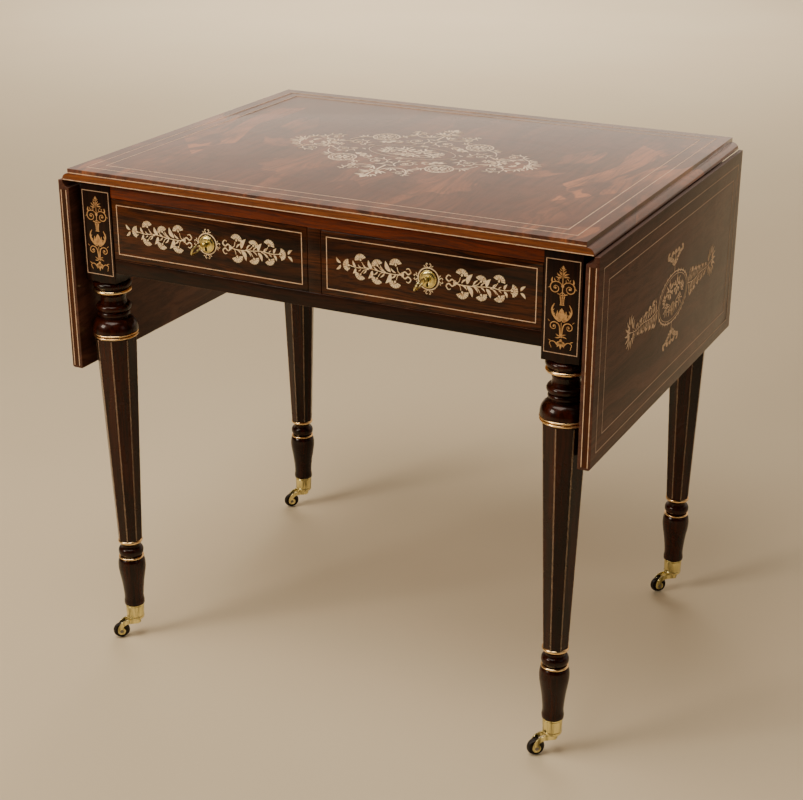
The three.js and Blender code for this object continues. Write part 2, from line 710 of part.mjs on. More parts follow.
// ---------------------------------------------------------------- drawer runners

function addRunners(table) {
  const runnerZ = [RUNNER_TOP - RUNNER_HEIGHT, RUNNER_TOP];
  const guideZ = [RUNNER_TOP - 1, RUNNER_TOP + GUIDE_RISE];
  const fullLength = [RAIL_BACK + FIT_GAP, BACK_APRON_INNER - FIT_GAP];
  const betweenBlocks = [-BLOCK_INNER_Y + FIT_GAP, BLOCK_INNER_Y - FIT_GAP];
  const outerGuide = DRAWER_MIDDLE_X + SIDE_OUTER + GUIDE_GAP;
  const innerGuide = DRAWER_MIDDLE_X - SIDE_OUTER - GUIDE_GAP;
  for (const { side, sx } of ENDS) {
    const runner = join(
      block([sx * (RAIL_END_X - RUNNER_LEDGE), sx * RAIL_END_X], fullLength, runnerZ),
      block([sx * outerGuide, sx * (APRON_INNER_X - FIT_GAP)], betweenBlocks, [
        runnerZ[0],
        guideZ[1],
      ]),
    );
    addPiece(table, `${side}_drawer_runner`, runner, FINISH.secondary);
  }
  const reach = DIVIDER_WIDTH / 2 + RUNNER_LEDGE;
  const middle = join(
    block([-reach, reach], fullLength, runnerZ),
    block([-innerGuide, innerGuide], fullLength, guideZ),
  );
  addPiece(table, 'middle_drawer_runner', middle, FINISH.secondary);
}

// ---------------------------------------------------------------- drawers

/** Dovetail outlines in Y and Z on the front end of a drawer side, or their wider sockets. */
function dovetails(gap = 0) {
  const pitch = (SIDE_TOP - SIDE_BOTTOM) / DOVETAIL_COUNT;
  return Array.from({ length: DOVETAIL_COUNT }, (_, i) => {
    const z = SIDE_BOTTOM + pitch * (i + 0.5);
    const root = DOVETAIL_ROOT / 2 + gap;
    const tip = DOVETAIL_TIP / 2 + gap;
    return [
      [FRONT_BACK_Y + 1, z - root],
      [FRONT_BACK_Y - DOVETAIL_LENGTH - gap, z - tip],
      [FRONT_BACK_Y - DOVETAIL_LENGTH - gap, z + tip],
      [FRONT_BACK_Y + 1, z + root],
    ];
  });
}

const FLOOR_RANGES = [
  [-SIDE_INNER - DRAWER_GROOVE + FIT_GAP, SIDE_INNER + DRAWER_GROOVE - FIT_GAP],
  [FRONT_BACK_Y - DRAWER_GROOVE, DRAWER_END_Y],
  [FLOOR_BOTTOM, FLOOR_TOP],
];

/** Range across X of the drawer side at -1 or +1, about the drawer's middle. */
const sideRangeX = (end) => [end * SIDE_INNER, end * SIDE_OUTER];

/** Keyhole: a round bore for the shaft with a slot under it for the bit. */
function keyhole(yRange) {
  return join(
    rod('y', KEYHOLE_RADIUS, yRange, [0, KEY_Z]),
    block([-KEYHOLE_SLOT / 2, KEYHOLE_SLOT / 2], yRange, [
      KEY_Z - KEY_BIT_REACH - 2 * FIT_GAP,
      KEY_Z,
    ]),
  );
}

function drawerFront() {
  const sockets = [-1, 1].flatMap((end) =>
    dovetails(FIT_GAP).map((outline) => runAlongX(outline, grown(sideRangeX(end)))),
  );
  return cut(
    block([-DRAWER_HALF, DRAWER_HALF], [FACE_Y, FRONT_BACK_Y], [FRONT_BOTTOM, FRONT_TOP]),
    ...sockets,
    grownBlock(FLOOR_RANGES),
    block(
      grown([-LOCK_WIDTH / 2, LOCK_WIDTH / 2]),
      [LOCK_FRONT_Y - FIT_GAP, FRONT_BACK_Y + 1],
      [LOCK_BOTTOM - FIT_GAP, FRONT_TOP + 1],
    ),
    keyhole([FACE_Y - 1, LOCK_FRONT_Y]),
  );
}

function drawerSide(end) {
  const tails = dovetails().map((outline) => runAlongX(outline, sideRangeX(end)));
  return cut(
    join(
      block(
        sideRangeX(end),
        [FRONT_BACK_Y + FIT_GAP, DRAWER_END_Y],
        [SIDE_BOTTOM, SIDE_TOP],
      ),
      ...tails,
    ),
    grownBlock(FLOOR_RANGES),
  );
}

function drawerBack() {
  return block(
    [-SIDE_INNER + FIT_GAP, SIDE_INNER - FIT_GAP],
    [DRAWER_END_Y - DRAWER_SIDE_THICKNESS, DRAWER_END_Y],
    [FLOOR_TOP + FIT_GAP, SIDE_TOP - DRAWER_BACK_DROP],
  );
}

/** A tray let into the back of the drawer front, its open side closed by the wood. */
function lockCase() {
  const x = LOCK_WIDTH / 2;
  return cut(
    block([-x, x], [LOCK_FRONT_Y, FRONT_BACK_Y], [LOCK_BOTTOM, LOCK_TOP]),
    block(
      [-x + LOCK_WALL, x - LOCK_WALL],
      [LOCK_FRONT_Y - 1, FRONT_BACK_Y - LOCK_WALL],
      [LOCK_BOTTOM + LOCK_WALL, LOCK_TOP - LOCK_WALL],
    ),
    block(grown(BOLT_X, BOLT_GAP), grown(BOLT_Y, BOLT_GAP), [BOLT_TOP - 2, LOCK_TOP + 1]),
  );
}

function domedEscutcheon() {
  const profile = [
    ...sweep([0, ESCUTCHEON_HEIGHT], [ESCUTCHEON_RADIUS, ESCUTCHEON_RIM], 5, false),
    [ESCUTCHEON_RADIUS, 0],
    [0, 0],
  ];
  const dome = turned(profile.reverse(), ESCUTCHEON_SIDES);
  const facingFront = dome.rotate([90, 0, 0]).translate([0, FACE_Y - FIT_GAP, KEY_Z]);
  return cut(facingFront, keyhole([FACE_Y - ESCUTCHEON_HEIGHT - 2, FACE_Y + 1]));
}

/** A key drawn about its shaft: oval bow, collar, shaft and bit, with the bit hanging down. */
function key() {
  const shaftEnd = FRONT_BACK_Y - LOCK_WALL - 2 * FIT_GAP;
  const bowRoot = BOW_MIDDLE_Y + KEY_BOW_LENGTH / 2;
  const halfThickness = KEY_BOW_THICKNESS / 2;
  const bowHole = ellipse(
    [BOW_MIDDLE_Y, 0],
    KEY_BOW_LENGTH / 2 - KEY_BOW_BAND,
    KEY_BOW_HEIGHT / 2 - KEY_BOW_BAND,
    SIDES,
  );
  const bow = runAlongX(
    ellipse([BOW_MIDDLE_Y, 0], KEY_BOW_LENGTH / 2, KEY_BOW_HEIGHT / 2, SIDES),
    [-halfThickness, halfThickness],
    [bowHole],
  );
  return join(
    bow,
    rod('y', KEY_SHAFT_RADIUS, [bowRoot - KEY_BOW_BAND / 2, shaftEnd], [0, 0]),
    rod('y', KEY_COLLAR_RADIUS, [bowRoot + 2, bowRoot + 4.5], [0, 0]),
    block(
      [-KEY_BIT_THICKNESS / 2, KEY_BIT_THICKNESS / 2],
      [shaftEnd - KEY_BIT_WIDTH, shaftEnd],
      [-KEY_BIT_REACH, 0],
    ),
  );
}

function addDrawers(table) {
  for (const { side, sx } of ENDS) {
    const drawer = groupAt(table, sx * DRAWER_MIDDLE_X, 0, 0);
    addPiece(drawer, `${side}_drawer_front`, drawerFront(), FINISH.rosewood);
    addPiece(drawer, `${side}_drawer_left_side`, drawerSide(-1), FINISH.secondary);
    addPiece(drawer, `${side}_drawer_right_side`, drawerSide(1), FINISH.secondary);
    addPiece(drawer, `${side}_drawer_back`, drawerBack(), FINISH.secondary);
    addPiece(drawer, `${side}_drawer_bottom`, block(...FLOOR_RANGES), FINISH.secondary);
    addPiece(drawer, `${side}_escutcheon`, domedEscutcheon(), FINISH.brass);
    addPiece(drawer, `${side}_lock_case`, lockCase(), FINISH.steel);
    const bolt = block(BOLT_X, BOLT_Y, [BOLT_BOTTOM, BOLT_TOP]);
    addPiece(drawer, `${side}_lock_bolt`, bolt, FINISH.steel);
    const keyAxis = groupAt(drawer, 0, 0, KEY_Z);
    keyAxis.rotation.y = THREE.MathUtils.degToRad(KEY_REST_TURN);
    addPiece(keyAxis, `${side}_key`, key(), FINISH.brass);
  }
}

// ---------------------------------------------------------------- casters

const CHEEK_INNER = WHEEL_WIDTH / 2 + CHEEK_GAP;
const CHEEK_OUTER = CHEEK_INNER + CHEEK_THICKNESS;
const NECK_TOP_Z = CUP_BOTTOM_Z - FIT_GAP;

/** The brass cup that the foot of the leg stands in, with a hole for the swivel pin. */
function casterCup() {
  const inner = CUP_RADIUS - CUP_WALL;
  const hole = SWIVEL_PIN_RADIUS + AXLE_BORE_GAP;
  const profile = [
    [hole, CUP_BOTTOM_Z],
    [CUP_RADIUS - 3, CUP_BOTTOM_Z],
    [CUP_RADIUS - 0.6, CUP_BOTTOM_Z + CUP_FLOOR],
    [CUP_RADIUS, CUP_TOP_Z],
    [inner, CUP_TOP_Z],
    [inner, CUP_BOTTOM_Z + CUP_FLOOR],
    [hole, CUP_BOTTOM_Z + CUP_FLOOR],
    [hole, CUP_BOTTOM_Z],
  ];
  return turned(profile, LEG_SIDES);
}

/** One curved cheek of the horn, in X and Z, with the axle at [CASTER_TRAIL, WHEEL_RADIUS]. */
function cheekOutline() {
  const end = CHEEK_END_RADIUS;
  const bend = NECK_TOP_Z - WHEEL_RADIUS;
  return [
    [-NECK_RADIUS / 2, NECK_BOTTOM_Z],
    [CASTER_TRAIL - end - 5, NECK_BOTTOM_Z],
    [CASTER_TRAIL - end, WHEEL_RADIUS],
    ...arc([CASTER_TRAIL, WHEEL_RADIUS], end, 180, 360, 8).slice(1),
    ...arc([CASTER_TRAIL + end - bend, WHEEL_RADIUS], bend, 0, 90, 6).slice(1),
    [-NECK_RADIUS / 2, NECK_TOP_Z],
  ];
}

/** The horn: round neck, two cheeks, and the swivel pin riveted inside the cup. */
function casterHorn() {
  const headZ = CUP_BOTTOM_Z + CUP_FLOOR + FIT_GAP;
  return cut(
    join(
      rod('z', NECK_RADIUS, [NECK_BOTTOM_Z, NECK_TOP_Z], [0, 0]),
      rod('z', SWIVEL_PIN_RADIUS, [NECK_BOTTOM_Z + 1, headZ + 1], [0, 0]),
      rod('z', SWIVEL_HEAD_RADIUS, [headZ, headZ + SWIVEL_HEAD_HEIGHT], [0, 0]),
      runAlongY(cheekOutline(), [CHEEK_INNER, CHEEK_OUTER]),
      runAlongY(cheekOutline(), [-CHEEK_OUTER, -CHEEK_INNER]),
    ),
    rod('y', AXLE_RADIUS + FIT_GAP, [-CHEEK_OUTER - 1, CHEEK_OUTER + 1], [
      CASTER_TRAIL,
      WHEEL_RADIUS,
    ]),
  );
}

function casterWheel() {
  const half = WHEEL_WIDTH / 2;
  const bore = AXLE_RADIUS + AXLE_BORE_GAP;
  const shoulder = WHEEL_RADIUS - 1.5;
  const profile = [
    [bore, -half],
    [shoulder, -half],
    ...arc([shoulder, 0], half, -90, 90, 4)
      .slice(1, -1)
      .map(([r, z]) => [shoulder + ((r - shoulder) * 1.5) / half, z]),
    [shoulder, half],
    [bore, half],
    [bore, -half],
  ];
  return turned(profile, WHEEL_SIDES)
    .rotate([90, 0, 0])
    .translate([CASTER_TRAIL, 0, WHEEL_RADIUS]);
}

function addCasters(table) {
  for (const { corner, sx, sy } of CORNERS) {
    const foot = groupAt(table, sx * LEG_X, sy * LEG_Y, 0);
    addPiece(foot, `${corner}_caster_cup`, casterCup(), FINISH.brass);
    const swivel = groupAt(foot, 0, 0, 0);
    swivel.rotation.z = THREE.MathUtils.degToRad(CASTER_TURN);
    const axle = rod('y', AXLE_RADIUS, [-CHEEK_OUTER, CHEEK_OUTER], [CASTER_TRAIL, WHEEL_RADIUS]);
    addPiece(swivel, `${corner}_caster_horn`, casterHorn(), FINISH.brass);
    addPiece(swivel, `${corner}_caster_axle`, axle, FINISH.steel);
    addPiece(swivel, `${corner}_caster_wheel`, casterWheel(), FINISH.ebony);
  }
}

// ---------------------------------------------------------------- the table

const sewingTable = new THREE.Group();
sewingTable.position.y = -MIDDLE_Y;
addTopAndLeaves(sewingTable);
addLegs(sewingTable);
addRails(sewingTable);
addSideAprons(sewingTable);
addRunners(sewingTable);
addDrawers(sewingTable);
addCasters(sewingTable);

export default sewingTable;
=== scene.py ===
"""The finished look of a drop-leaf sewing table in rosewood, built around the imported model.

Lengths inside the classes are in millimetres and are turned into metres as a mesh is made.
"""

import json
import logging
from dataclasses import dataclass, field
from enum import Enum
from math import asin, atan2, cos, degrees, dist, pi, radians, sin, sqrt, tan
from typing import Iterable, Mapping, Sequence

import bmesh
import bpy
from bmesh.types import BMesh, BMVert
from bpy.types import Material, Mesh, Node, NodeSocket, NodeTree, Object
from mathutils import Matrix, Vector

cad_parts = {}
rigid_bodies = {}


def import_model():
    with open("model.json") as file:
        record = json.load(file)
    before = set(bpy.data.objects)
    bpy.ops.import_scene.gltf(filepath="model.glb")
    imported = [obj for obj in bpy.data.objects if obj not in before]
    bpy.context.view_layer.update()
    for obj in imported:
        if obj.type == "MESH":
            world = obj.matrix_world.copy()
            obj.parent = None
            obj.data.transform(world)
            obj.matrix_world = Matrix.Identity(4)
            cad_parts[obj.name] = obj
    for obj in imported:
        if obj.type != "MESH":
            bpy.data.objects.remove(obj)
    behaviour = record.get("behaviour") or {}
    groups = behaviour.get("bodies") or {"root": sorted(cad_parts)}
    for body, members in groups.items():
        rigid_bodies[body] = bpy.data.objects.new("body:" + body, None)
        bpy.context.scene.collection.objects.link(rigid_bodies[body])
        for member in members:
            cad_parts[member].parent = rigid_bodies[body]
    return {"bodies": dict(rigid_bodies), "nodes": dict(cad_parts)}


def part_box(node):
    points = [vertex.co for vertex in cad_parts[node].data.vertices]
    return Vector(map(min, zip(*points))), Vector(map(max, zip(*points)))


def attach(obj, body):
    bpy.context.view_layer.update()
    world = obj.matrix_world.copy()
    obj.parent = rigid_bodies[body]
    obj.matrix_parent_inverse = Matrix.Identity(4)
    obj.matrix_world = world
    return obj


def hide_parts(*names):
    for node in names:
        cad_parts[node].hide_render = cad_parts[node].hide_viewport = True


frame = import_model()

LOG = logging.getLogger("sewing_table")
MM = 0.001
REVEAL = 0.25  # boards stand back this much, so that their inlay ends at the full size
WELD = 2e-6  # corners of a solid that are closer than this, in metres, are one corner
FLAT = radians(0.5)  # faces of a solid that turn less than this are one face
ARRIS = (40.0, 14.0)  # a solid's edges are rounded when they turn more, in degrees, and are longer
CUT_EDGE = 30.0  # edges of cut pieces sharper than this stay crisp, in degrees
ORIGIN = Vector((0, 0, 0))
X_AXIS, Y_AXIS, Z_AXIS = Vector((1, 0, 0)), Vector((0, 1, 0)), Vector((0, 0, 1))
ONE_PLACE = ((1, 1),)
TWO_PLACES = ((1, 1), (-1, 1))
FOUR_PLACES = ((1, 1), (-1, 1), (1, -1), (-1, -1))
Point = tuple[float, float]
Outline = list[Point]
Colour = tuple[float, float, float, float]

# ---- named options


class Side(Enum):
    """An end of the table, with its sign along X."""

    LEFT = ("left", -1)
    RIGHT = ("right", 1)

    def __init__(self, word: str, sign: int) -> None:
        """Keeps the word used in names and the sign along X."""
        self.word = word
        self.sign = sign


class Corner(Enum):
    """A leg of the table: its name, signs along X and Y, and the turn of its facets in degrees."""

    FRONT_LEFT = ("front_left", -1, -1, 22.5)
    FRONT_RIGHT = ("front_right", 1, -1, 0.0)
    BACK_LEFT = ("back_left", -1, 1, 0.0)
    BACK_RIGHT = ("back_right", 1, 1, -10.0)

    def __init__(self, word: str, across: int, along: int, facet_turn: float) -> None:
        """Keeps the corner's word, its signs and the turn of its shaft's facets."""
        self.word = word
        self.across = across
        self.along = along
        self.facet_turn = facet_turn


class Grain(Enum):
    """The way that the grain runs, as the turn that lays it along X."""

    ALONG_X = (0.0, 0.0, 0.0)
    ALONG_Y = (0.0, 0.0, -90.0)
    ALONG_Z = (0.0, 90.0, 0.0)


class Motif(Enum):
    """The kinds of small cut piece that the marquetry repeats."""

    LEAF = "leaf"
    BLOOM = "bloom"
    ROSE = "rose"
    BUD = "bud"
    DOT = "dot"
    TREFOIL = "trefoil"
    SHELL = "shell"
    SLIM = "slim"


# ---- numbers and outlines


def colour(digits: str) -> Colour:
    """Turns six hex digits into a linear colour.

    Args:
        digits: Red, green and blue as they look on a screen.

    Returns:
        The same colour in linear light, with full alpha.
    """

    def linear(value: float) -> float:
        """One channel in linear light."""
        return value / 12.92 if value <= 0.04045 else ((value + 0.055) / 1.055) ** 2.4

    red, green, blue = (int(digits[i : i + 2], 16) / 255 for i in (0, 2, 4))
    return (linear(red), linear(green), linear(blue), 1.0)


def arc(centre: Point, radius: float, start: float, end: float, steps: int) -> Outline:
    """Points of an arc from one angle to another, in degrees."""
    angles = [radians(start + (end - start) * i / steps) for i in range(steps + 1)]
    return [(centre[0] + radius * cos(a), centre[1] + radius * sin(a)) for a in angles]


def heading_point(reach: float, angle: float, centre: Point = (0.0, 0.0)) -> Point:
    """The point at a distance from a centre, in the direction of an angle in degrees."""
    return (centre[0] + reach * cos(radians(angle)), centre[1] + reach * sin(radians(angle)))


def oblong(left: float, right: float, low: float, high: float) -> Outline:
    """A rectangle as an outline."""
    return [(left, low), (right, low), (right, high), (left, high)]


def bead(low: float, high: float, root: float, crest: float, steps: int = 12) -> Outline:
    """A half-round bead of a turned profile, from one height to the next."""
    angles = [pi * i / steps for i in range(steps + 1)]
    half = (high - low) / 2
    return [(root + (crest - root) * sin(a), low + half * (1 - cos(a))) for a in angles]


def sweep(start: Point, end: Point, upright_first: bool = True, steps: int = 12) -> Outline:
    """A quarter-round sweep of a profile that leaves upright and arrives level, or back."""
    points = []
    for i in range(steps + 1):
        angle = pi / 2 * i / steps
        across = 1 - cos(angle) if upright_first else sin(angle)
        along = sin(angle) if upright_first else 1 - cos(angle)
        points.append((start[0] + (end[0] - start[0]) * across, start[1] + (end[1] - start[1]) * along))
    return points


def eased(p: float, q: float, r: float, s: float, t: float) -> float:
    """One coordinate of a smooth line, a share t of the way from the second to the third of four points."""
    bend, twist = 2 * p - 5 * q + 4 * r - s, 3 * q - p - 3 * r + s
    return 0.5 * (2 * q + (r - p) * t + bend * t**2 + twist * t**3)


def smooth_path(points: Sequence[Point], steps: int = 6) -> Outline:
    """A smooth line through the given points.

    Args:
        points: The points it passes through.
        steps: How many short pieces it has between two of them.

    Returns:
        The points of the line.
    """
    padded = [points[0], *points, points[-1]]
    line = []
    for a, b, c, d in zip(padded, padded[1:], padded[2:], padded[3:]):
        for i in range(steps):
            t = i / steps
            line.append(tuple(eased(p, q, r, s, t) for p, q, r, s in zip(a, b, c, d)))
    return [*line, tuple(points[-1])]


def spiral(centre: Point, outer: float, inner: float, start: float, turn: float, steps: int = 28) -> Outline:
    """A scroll that winds from an outer to an inner radius through a turn in degrees."""
    points = []
    for i in range(steps + 1):
        t = i / steps
        angle = radians(start + turn * t)
        radius = outer + (inner - outer) * t**0.8
        points.append((centre[0] + radius * cos(angle), centre[1] + radius * sin(angle)))
    return points


# ---- meshes


def as_mesh(name: str, bm: BMesh, smooth_angle: float = 40.0) -> Mesh:
    """Closes up, turns outwards and smooths a mesh under construction.

    Args:
        name: The name of the mesh.
        bm: The mesh under construction, which is freed.
        smooth_angle: Edges sharper than this stay crisp, in degrees.

    Returns:
        The finished mesh.
    """
    bmesh.ops.remove_doubles(bm, verts=bm.verts, dist=1e-6)
    bmesh.ops.recalc_face_normals(bm, faces=bm.faces)
    mesh = bpy.data.meshes.new(name)
    bm.to_mesh(mesh)
    bm.free()
    mesh.polygons.foreach_set("use_smooth", [True] * len(mesh.polygons))
    mesh.set_sharp_from_angle(angle=radians(smooth_angle))
    return mesh


def piece_of(name: str, mesh: Mesh, material: Material) -> Object:
    """A new object in the scene, made of one mesh and one material."""
    mesh.materials.clear()
    mesh.materials.append(material)
    piece = bpy.data.objects.new(name, mesh)
    bpy.context.scene.collection.objects.link(piece)
    return piece


def discard(piece: Object) -> None:
    """Removes a helper object and its mesh."""
    mesh = piece.data
    bpy.data.objects.remove(piece)
    bpy.data.meshes.remove(mesh)


def hand_over(piece: Object, body: str, slot: str, *nodes: str) -> Object:
    """Fixes a piece to its body.

    Args:
        piece: The finished piece.
        body: The body that it moves with.
        slot: The material slot of the record that it belongs to; not used.
        *nodes: The solids that it stands for.

    Returns:
        The same piece.
    """
    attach(piece, body)
    if nodes:
        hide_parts(*nodes)
    LOG.info("%s rides on %s", piece.name, body)
    return piece


def mount(
    name: str, mesh: Mesh, material: Material, body: str, slot: str = "rosewood", *nodes: str
) -> Object:
    """Makes a mesh a piece of its body.

    Args:
        name: The name of the piece.
        mesh: Its mesh.
        material: Its finish.
        body: The body that it moves with.
        slot: The material slot of the record that it belongs to; not used.
        *nodes: The solids that it stands for.

    Returns:
        The piece.
    """
    return hand_over(piece_of(name, mesh, material), body, slot, *nodes)


def joined(name: str, meshes: Iterable[Mesh], smooth_angle: float = 40.0) -> Mesh:
    """Several meshes as one, with the first ones removed."""
    bm = bmesh.new()
    for mesh in meshes:
        bm.from_mesh(mesh)
        bpy.data.meshes.remove(mesh)
    return as_mesh(name, bm, smooth_angle)


def soften(bm: BMesh, width: float, sharper_than: float, longer_than: float) -> None:
    """Rounds the arrises of a mesh and marks them, so that a finish can wear them.

    Args:
        bm: The mesh under construction, in metres.
        width: The width of the rounding, in millimetres.
        sharper_than: Only edges that turn more than this are rounded, in degrees.
        longer_than: Only edges longer than this are rounded, in millimetres.
    """
    worn = bm.verts.layers.float.new("arris")
    shared = [edge for edge in bm.edges if len(edge.link_faces) == 2]
    sharp = [edge for edge in shared if edge.calc_face_angle() > radians(sharper_than)]
    edges = [edge for edge in sharp if edge.calc_length() > longer_than * MM]
    made = bmesh.ops.bevel(
        bm, geom=edges, offset=width * MM, offset_type="OFFSET", segments=3, profile=0.5, affect="EDGES",
        clamp_overlap=True
    )
    rounding = set(made["faces"])
    for face in rounding:
        for vert in face.verts:
            vert[worn] = float(rounding.issuperset(vert.link_faces))


def turned(name: str, profile: Sequence[Point], centre: Vector, sides: int = 64, crisp: float = 42.0) -> Mesh:
    """A turned solid about an upright axis.

    Args:
        name: The name of the mesh.
        profile: Radius and height, from axis to axis or round a closed loop.
        centre: Where the axis stands, in metres.
        sides: How many facets go round it.
        crisp: Edges sharper than this stay crisp, in degrees.

    Returns:
        The closed mesh.
    """
    bm = bmesh.new()
    rings = []
    for radius, height in profile:
        if radius < 1e-4:
            rings.append([bm.verts.new(centre + Vector((0, 0, height * MM)))])
            continue
        ring = []
        for i in range(sides):
            angle = 2 * pi * i / sides
            offset = Vector((radius * cos(angle), radius * sin(angle), height)) * MM
            ring.append(bm.verts.new(centre + offset))
        rings.append(ring)
    for lower, upper in zip(rings, rings[1:]):
        for i in range(sides):
            j = (i + 1) % sides
            corners = [
                lower[i % len(lower)], lower[j % len(lower)], upper[j % len(upper)], upper[i % len(upper)]
            ]
            unique = list(dict.fromkeys(corners))
            if len(unique) > 2:
                bm.faces.new(unique)
    return as_mesh(name, bm, crisp)


def bridge(bm: BMesh, first: Sequence[BMVert], second: Sequence[BMVert]) -> None:
    """Adds the faces between two rings of corners."""
    for i, vert in enumerate(first):
        j = (i + 1) % len(first)
        bm.faces.new([vert, first[j], second[j], second[i]])


def close_slab(bm: BMesh, bottom: Sequence[BMVert], top: Sequence[BMVert]) -> None:
    """Makes two rings of corners a closed slab."""
    bm.faces.new(bottom[::-1])
    bm.faces.new(top)
    bridge(bm, bottom, top)


def add_prism(bm: BMesh, outline: Sequence[Point], low: float, high: float) -> None:
    """Adds a flat outline, given in millimetres, as a closed slab between two heights."""
    bottom = [bm.verts.new(Vector((u, v, low)) * MM) for u, v in outline]
    top = [bm.verts.new(Vector((u, v, high)) * MM) for u, v in outline]
    close_slab(bm, bottom, top)


def add_ribbon(
    bm: BMesh, line: Sequence[Point], widths: Sequence[float], low: float, high: float, closed: bool = False
) -> None:
    """Adds a flat strip of changing width along a line, in millimetres, as a closed slab."""
    count = len(line)
    rows = []
    for i, (u, v) in enumerate(line):
        before = line[i - 1] if i or closed else line[i]
        after = line[(i + 1) % count] if i < count - 1 or closed else line[i]
        run = Vector((after[0] - before[0], after[1] - before[1])).normalized()
        half = widths[i] / 2
        left, right = (u - run.y * half, v + run.x * half), (u + run.y * half, v - run.x * half)
        rows.append(
            [
                bm.verts.new(Vector((*place, z)) * MM)
                for place, z in ((left, low), (right, low), (right, high), (left, high))
            ]
        )
    pairs = list(zip(rows, rows[1:])) + ([(rows[-1], rows[0])] if closed else [])
    for first, second in pairs:
        bridge(bm, first, second)
    if not closed:
        bm.faces.new(rows[0][::-1])
        bm.faces.new(rows[-1])


def laid_prism(face: "Panel", outline: Sequence[Point], proud: float, sunk: float = 0.4) -> Mesh:
    """A flat outline as a thin slab let into a face."""
    bm = bmesh.new()
    add_prism(bm, outline, -sunk, proud)
    mesh = as_mesh("slab", bm)
    mesh.transform(face.placing())
    return mesh


def edge_faces(low: Vector, high: Vector) -> list[tuple[int, "Panel"]]:
    """The front and back edges of a board: which way each looks along Y, and its face."""
    edges = ((-1, low.y + REVEAL * MM), (1, high.y - REVEAL * MM))
    return [(out, Panel(Vector((0, y, 0)), Vector((-out, 0, 0)), Z_AXIS)) for out, y in edges]


@dataclass(frozen=True)
class Panel:
    """A flat face that inlay lies on: its middle, and which way is across and up."""

    middle: Vector
    across: Vector
    up: Vector

    def placing(self) -> Matrix:
        """The matrix that lays a drawing on the face, its third axis pointing out of the wood."""
        out = self.across.cross(self.up)
        matrix = Matrix((self.across, self.up, out)).transposed().to_4x4()
        matrix.translation = self.middle
        return matrix


# ---- Geometry Nodes recipes


class Nodes:
    """Adds nodes to a tree and joins them up."""

    def __init__(self, tree: NodeTree) -> None:
        """Keeps the tree."""
        self.tree = tree

    def join(self, source: NodeSocket, target: NodeSocket) -> None:
        """Joins an output to an input."""
        self.tree.links.new(source, target)

    def feed(self, node: Node, inputs: Mapping[str | int, object]) -> None:
        """Gives each input, by name or number, its value or the output that drives it."""
        for key, value in inputs.items():
            if isinstance(value, NodeSocket):
                self.join(value, node.inputs[key])
            else:
                node.inputs[key].default_value = value

    def add(self, kind: str, inputs: Mapping[str | int, object] | None = None, **settings: object) -> Node:
        """Adds a node.

        Args:
            kind: The node's type.
            inputs: A value or an output socket for each input, by name or number.
            **settings: The node's own properties.

        Returns:
            The node.
        """
        node = self.tree.nodes.new(kind)
        for key, value in settings.items():
            setattr(node, key, value)
        self.feed(node, inputs or {})
        return node


class Recipe(Nodes):
    """A Geometry Nodes tree with named inputs, run to give a plain mesh."""

    KINDS = {
        float: "NodeSocketFloat", int: "NodeSocketInt", Object: "NodeSocketObject",
        Material: "NodeSocketMaterial"
    }

    def __init__(self, name: str, inputs: Mapping[str, type]) -> None:
        """Starts the tree.

        Args:
            name: The name of the tree.
            inputs: Each input's name and kind.
        """
        super().__init__(bpy.data.node_groups.new(name, "GeometryNodeTree"))
        sockets = self.tree.interface
        sockets.new_socket("Geometry", in_out="OUTPUT", socket_type="NodeSocketGeometry")
        sockets.new_socket("Geometry", in_out="INPUT", socket_type="NodeSocketGeometry")
        self.identifiers = {
            key: sockets.new_socket(key, in_out="INPUT", socket_type=self.KINDS[kind]).identifier
            for key, kind in {**inputs, "Finish": Material}.items()
        }
        self.entry = self.tree.nodes.new("NodeGroupInput")

    def close(self, geometry: NodeSocket) -> None:
        """Ends the tree in Realize Instances and Set Material."""
        real = self.add("GeometryNodeRealizeInstances", {"Geometry": geometry})
        dressed = self.add(
            "GeometryNodeSetMaterial",
            {"Geometry": real.outputs["Geometry"], "Material": self.entry.outputs["Finish"]}
        )
        exit_node = self.tree.nodes.new("NodeGroupOutput")
        self.join(dressed.outputs["Geometry"], exit_node.inputs["Geometry"])

    def grow(self, base: Mesh | None = None, **values: object) -> Mesh:
        """Runs the tree once.

        Args:
            base: The mesh that it starts from, where it needs one.
            **values: A value for each named input.

        Returns:
            A plain mesh.
        """
        carrier = bpy.data.objects.new("carrier", base or bpy.data.meshes.new("carrier"))
        bpy.context.scene.collection.objects.link(carrier)
        modifier = carrier.modifiers.new("recipe", "NODES")
        modifier.node_group = self.tree
        for key, value in values.items():
            modifier[self.identifiers[key]] = value
        graph = bpy.context.evaluated_depsgraph_get()
        mesh = bpy.data.meshes.new_from_object(carrier.evaluated_get(graph), depsgraph=graph)
        carrier.modifiers.remove(modifier)
        discard(carrier)
        return mesh


def scatter_recipe() -> Recipe:
    """Sets a cut piece on every point, turned and sized by the point's own values."""
    recipe = Recipe("scattered pieces", {"Piece": Object})
    turn = recipe.add("GeometryNodeInputNamedAttribute", {"Name": "turn"}, data_type="FLOAT")
    size = recipe.add("GeometryNodeInputNamedAttribute", {"Name": "size"}, data_type="FLOAT")
    spin = recipe.add("ShaderNodeCombineXYZ", {"Z": turn.outputs["Attribute"]})
    source = recipe.add("GeometryNodeObjectInfo", {"Object": recipe.entry.outputs["Piece"]})
    placed = recipe.add(
        "GeometryNodeInstanceOnPoints",
        {
            "Points": recipe.entry.outputs["Geometry"], "Instance": source.outputs["Geometry"],
            "Rotation": spin.outputs["Vector"], "Scale": size.outputs["Attribute"]
        }
    )
    recipe.close(placed.outputs["Instances"])
    return recipe


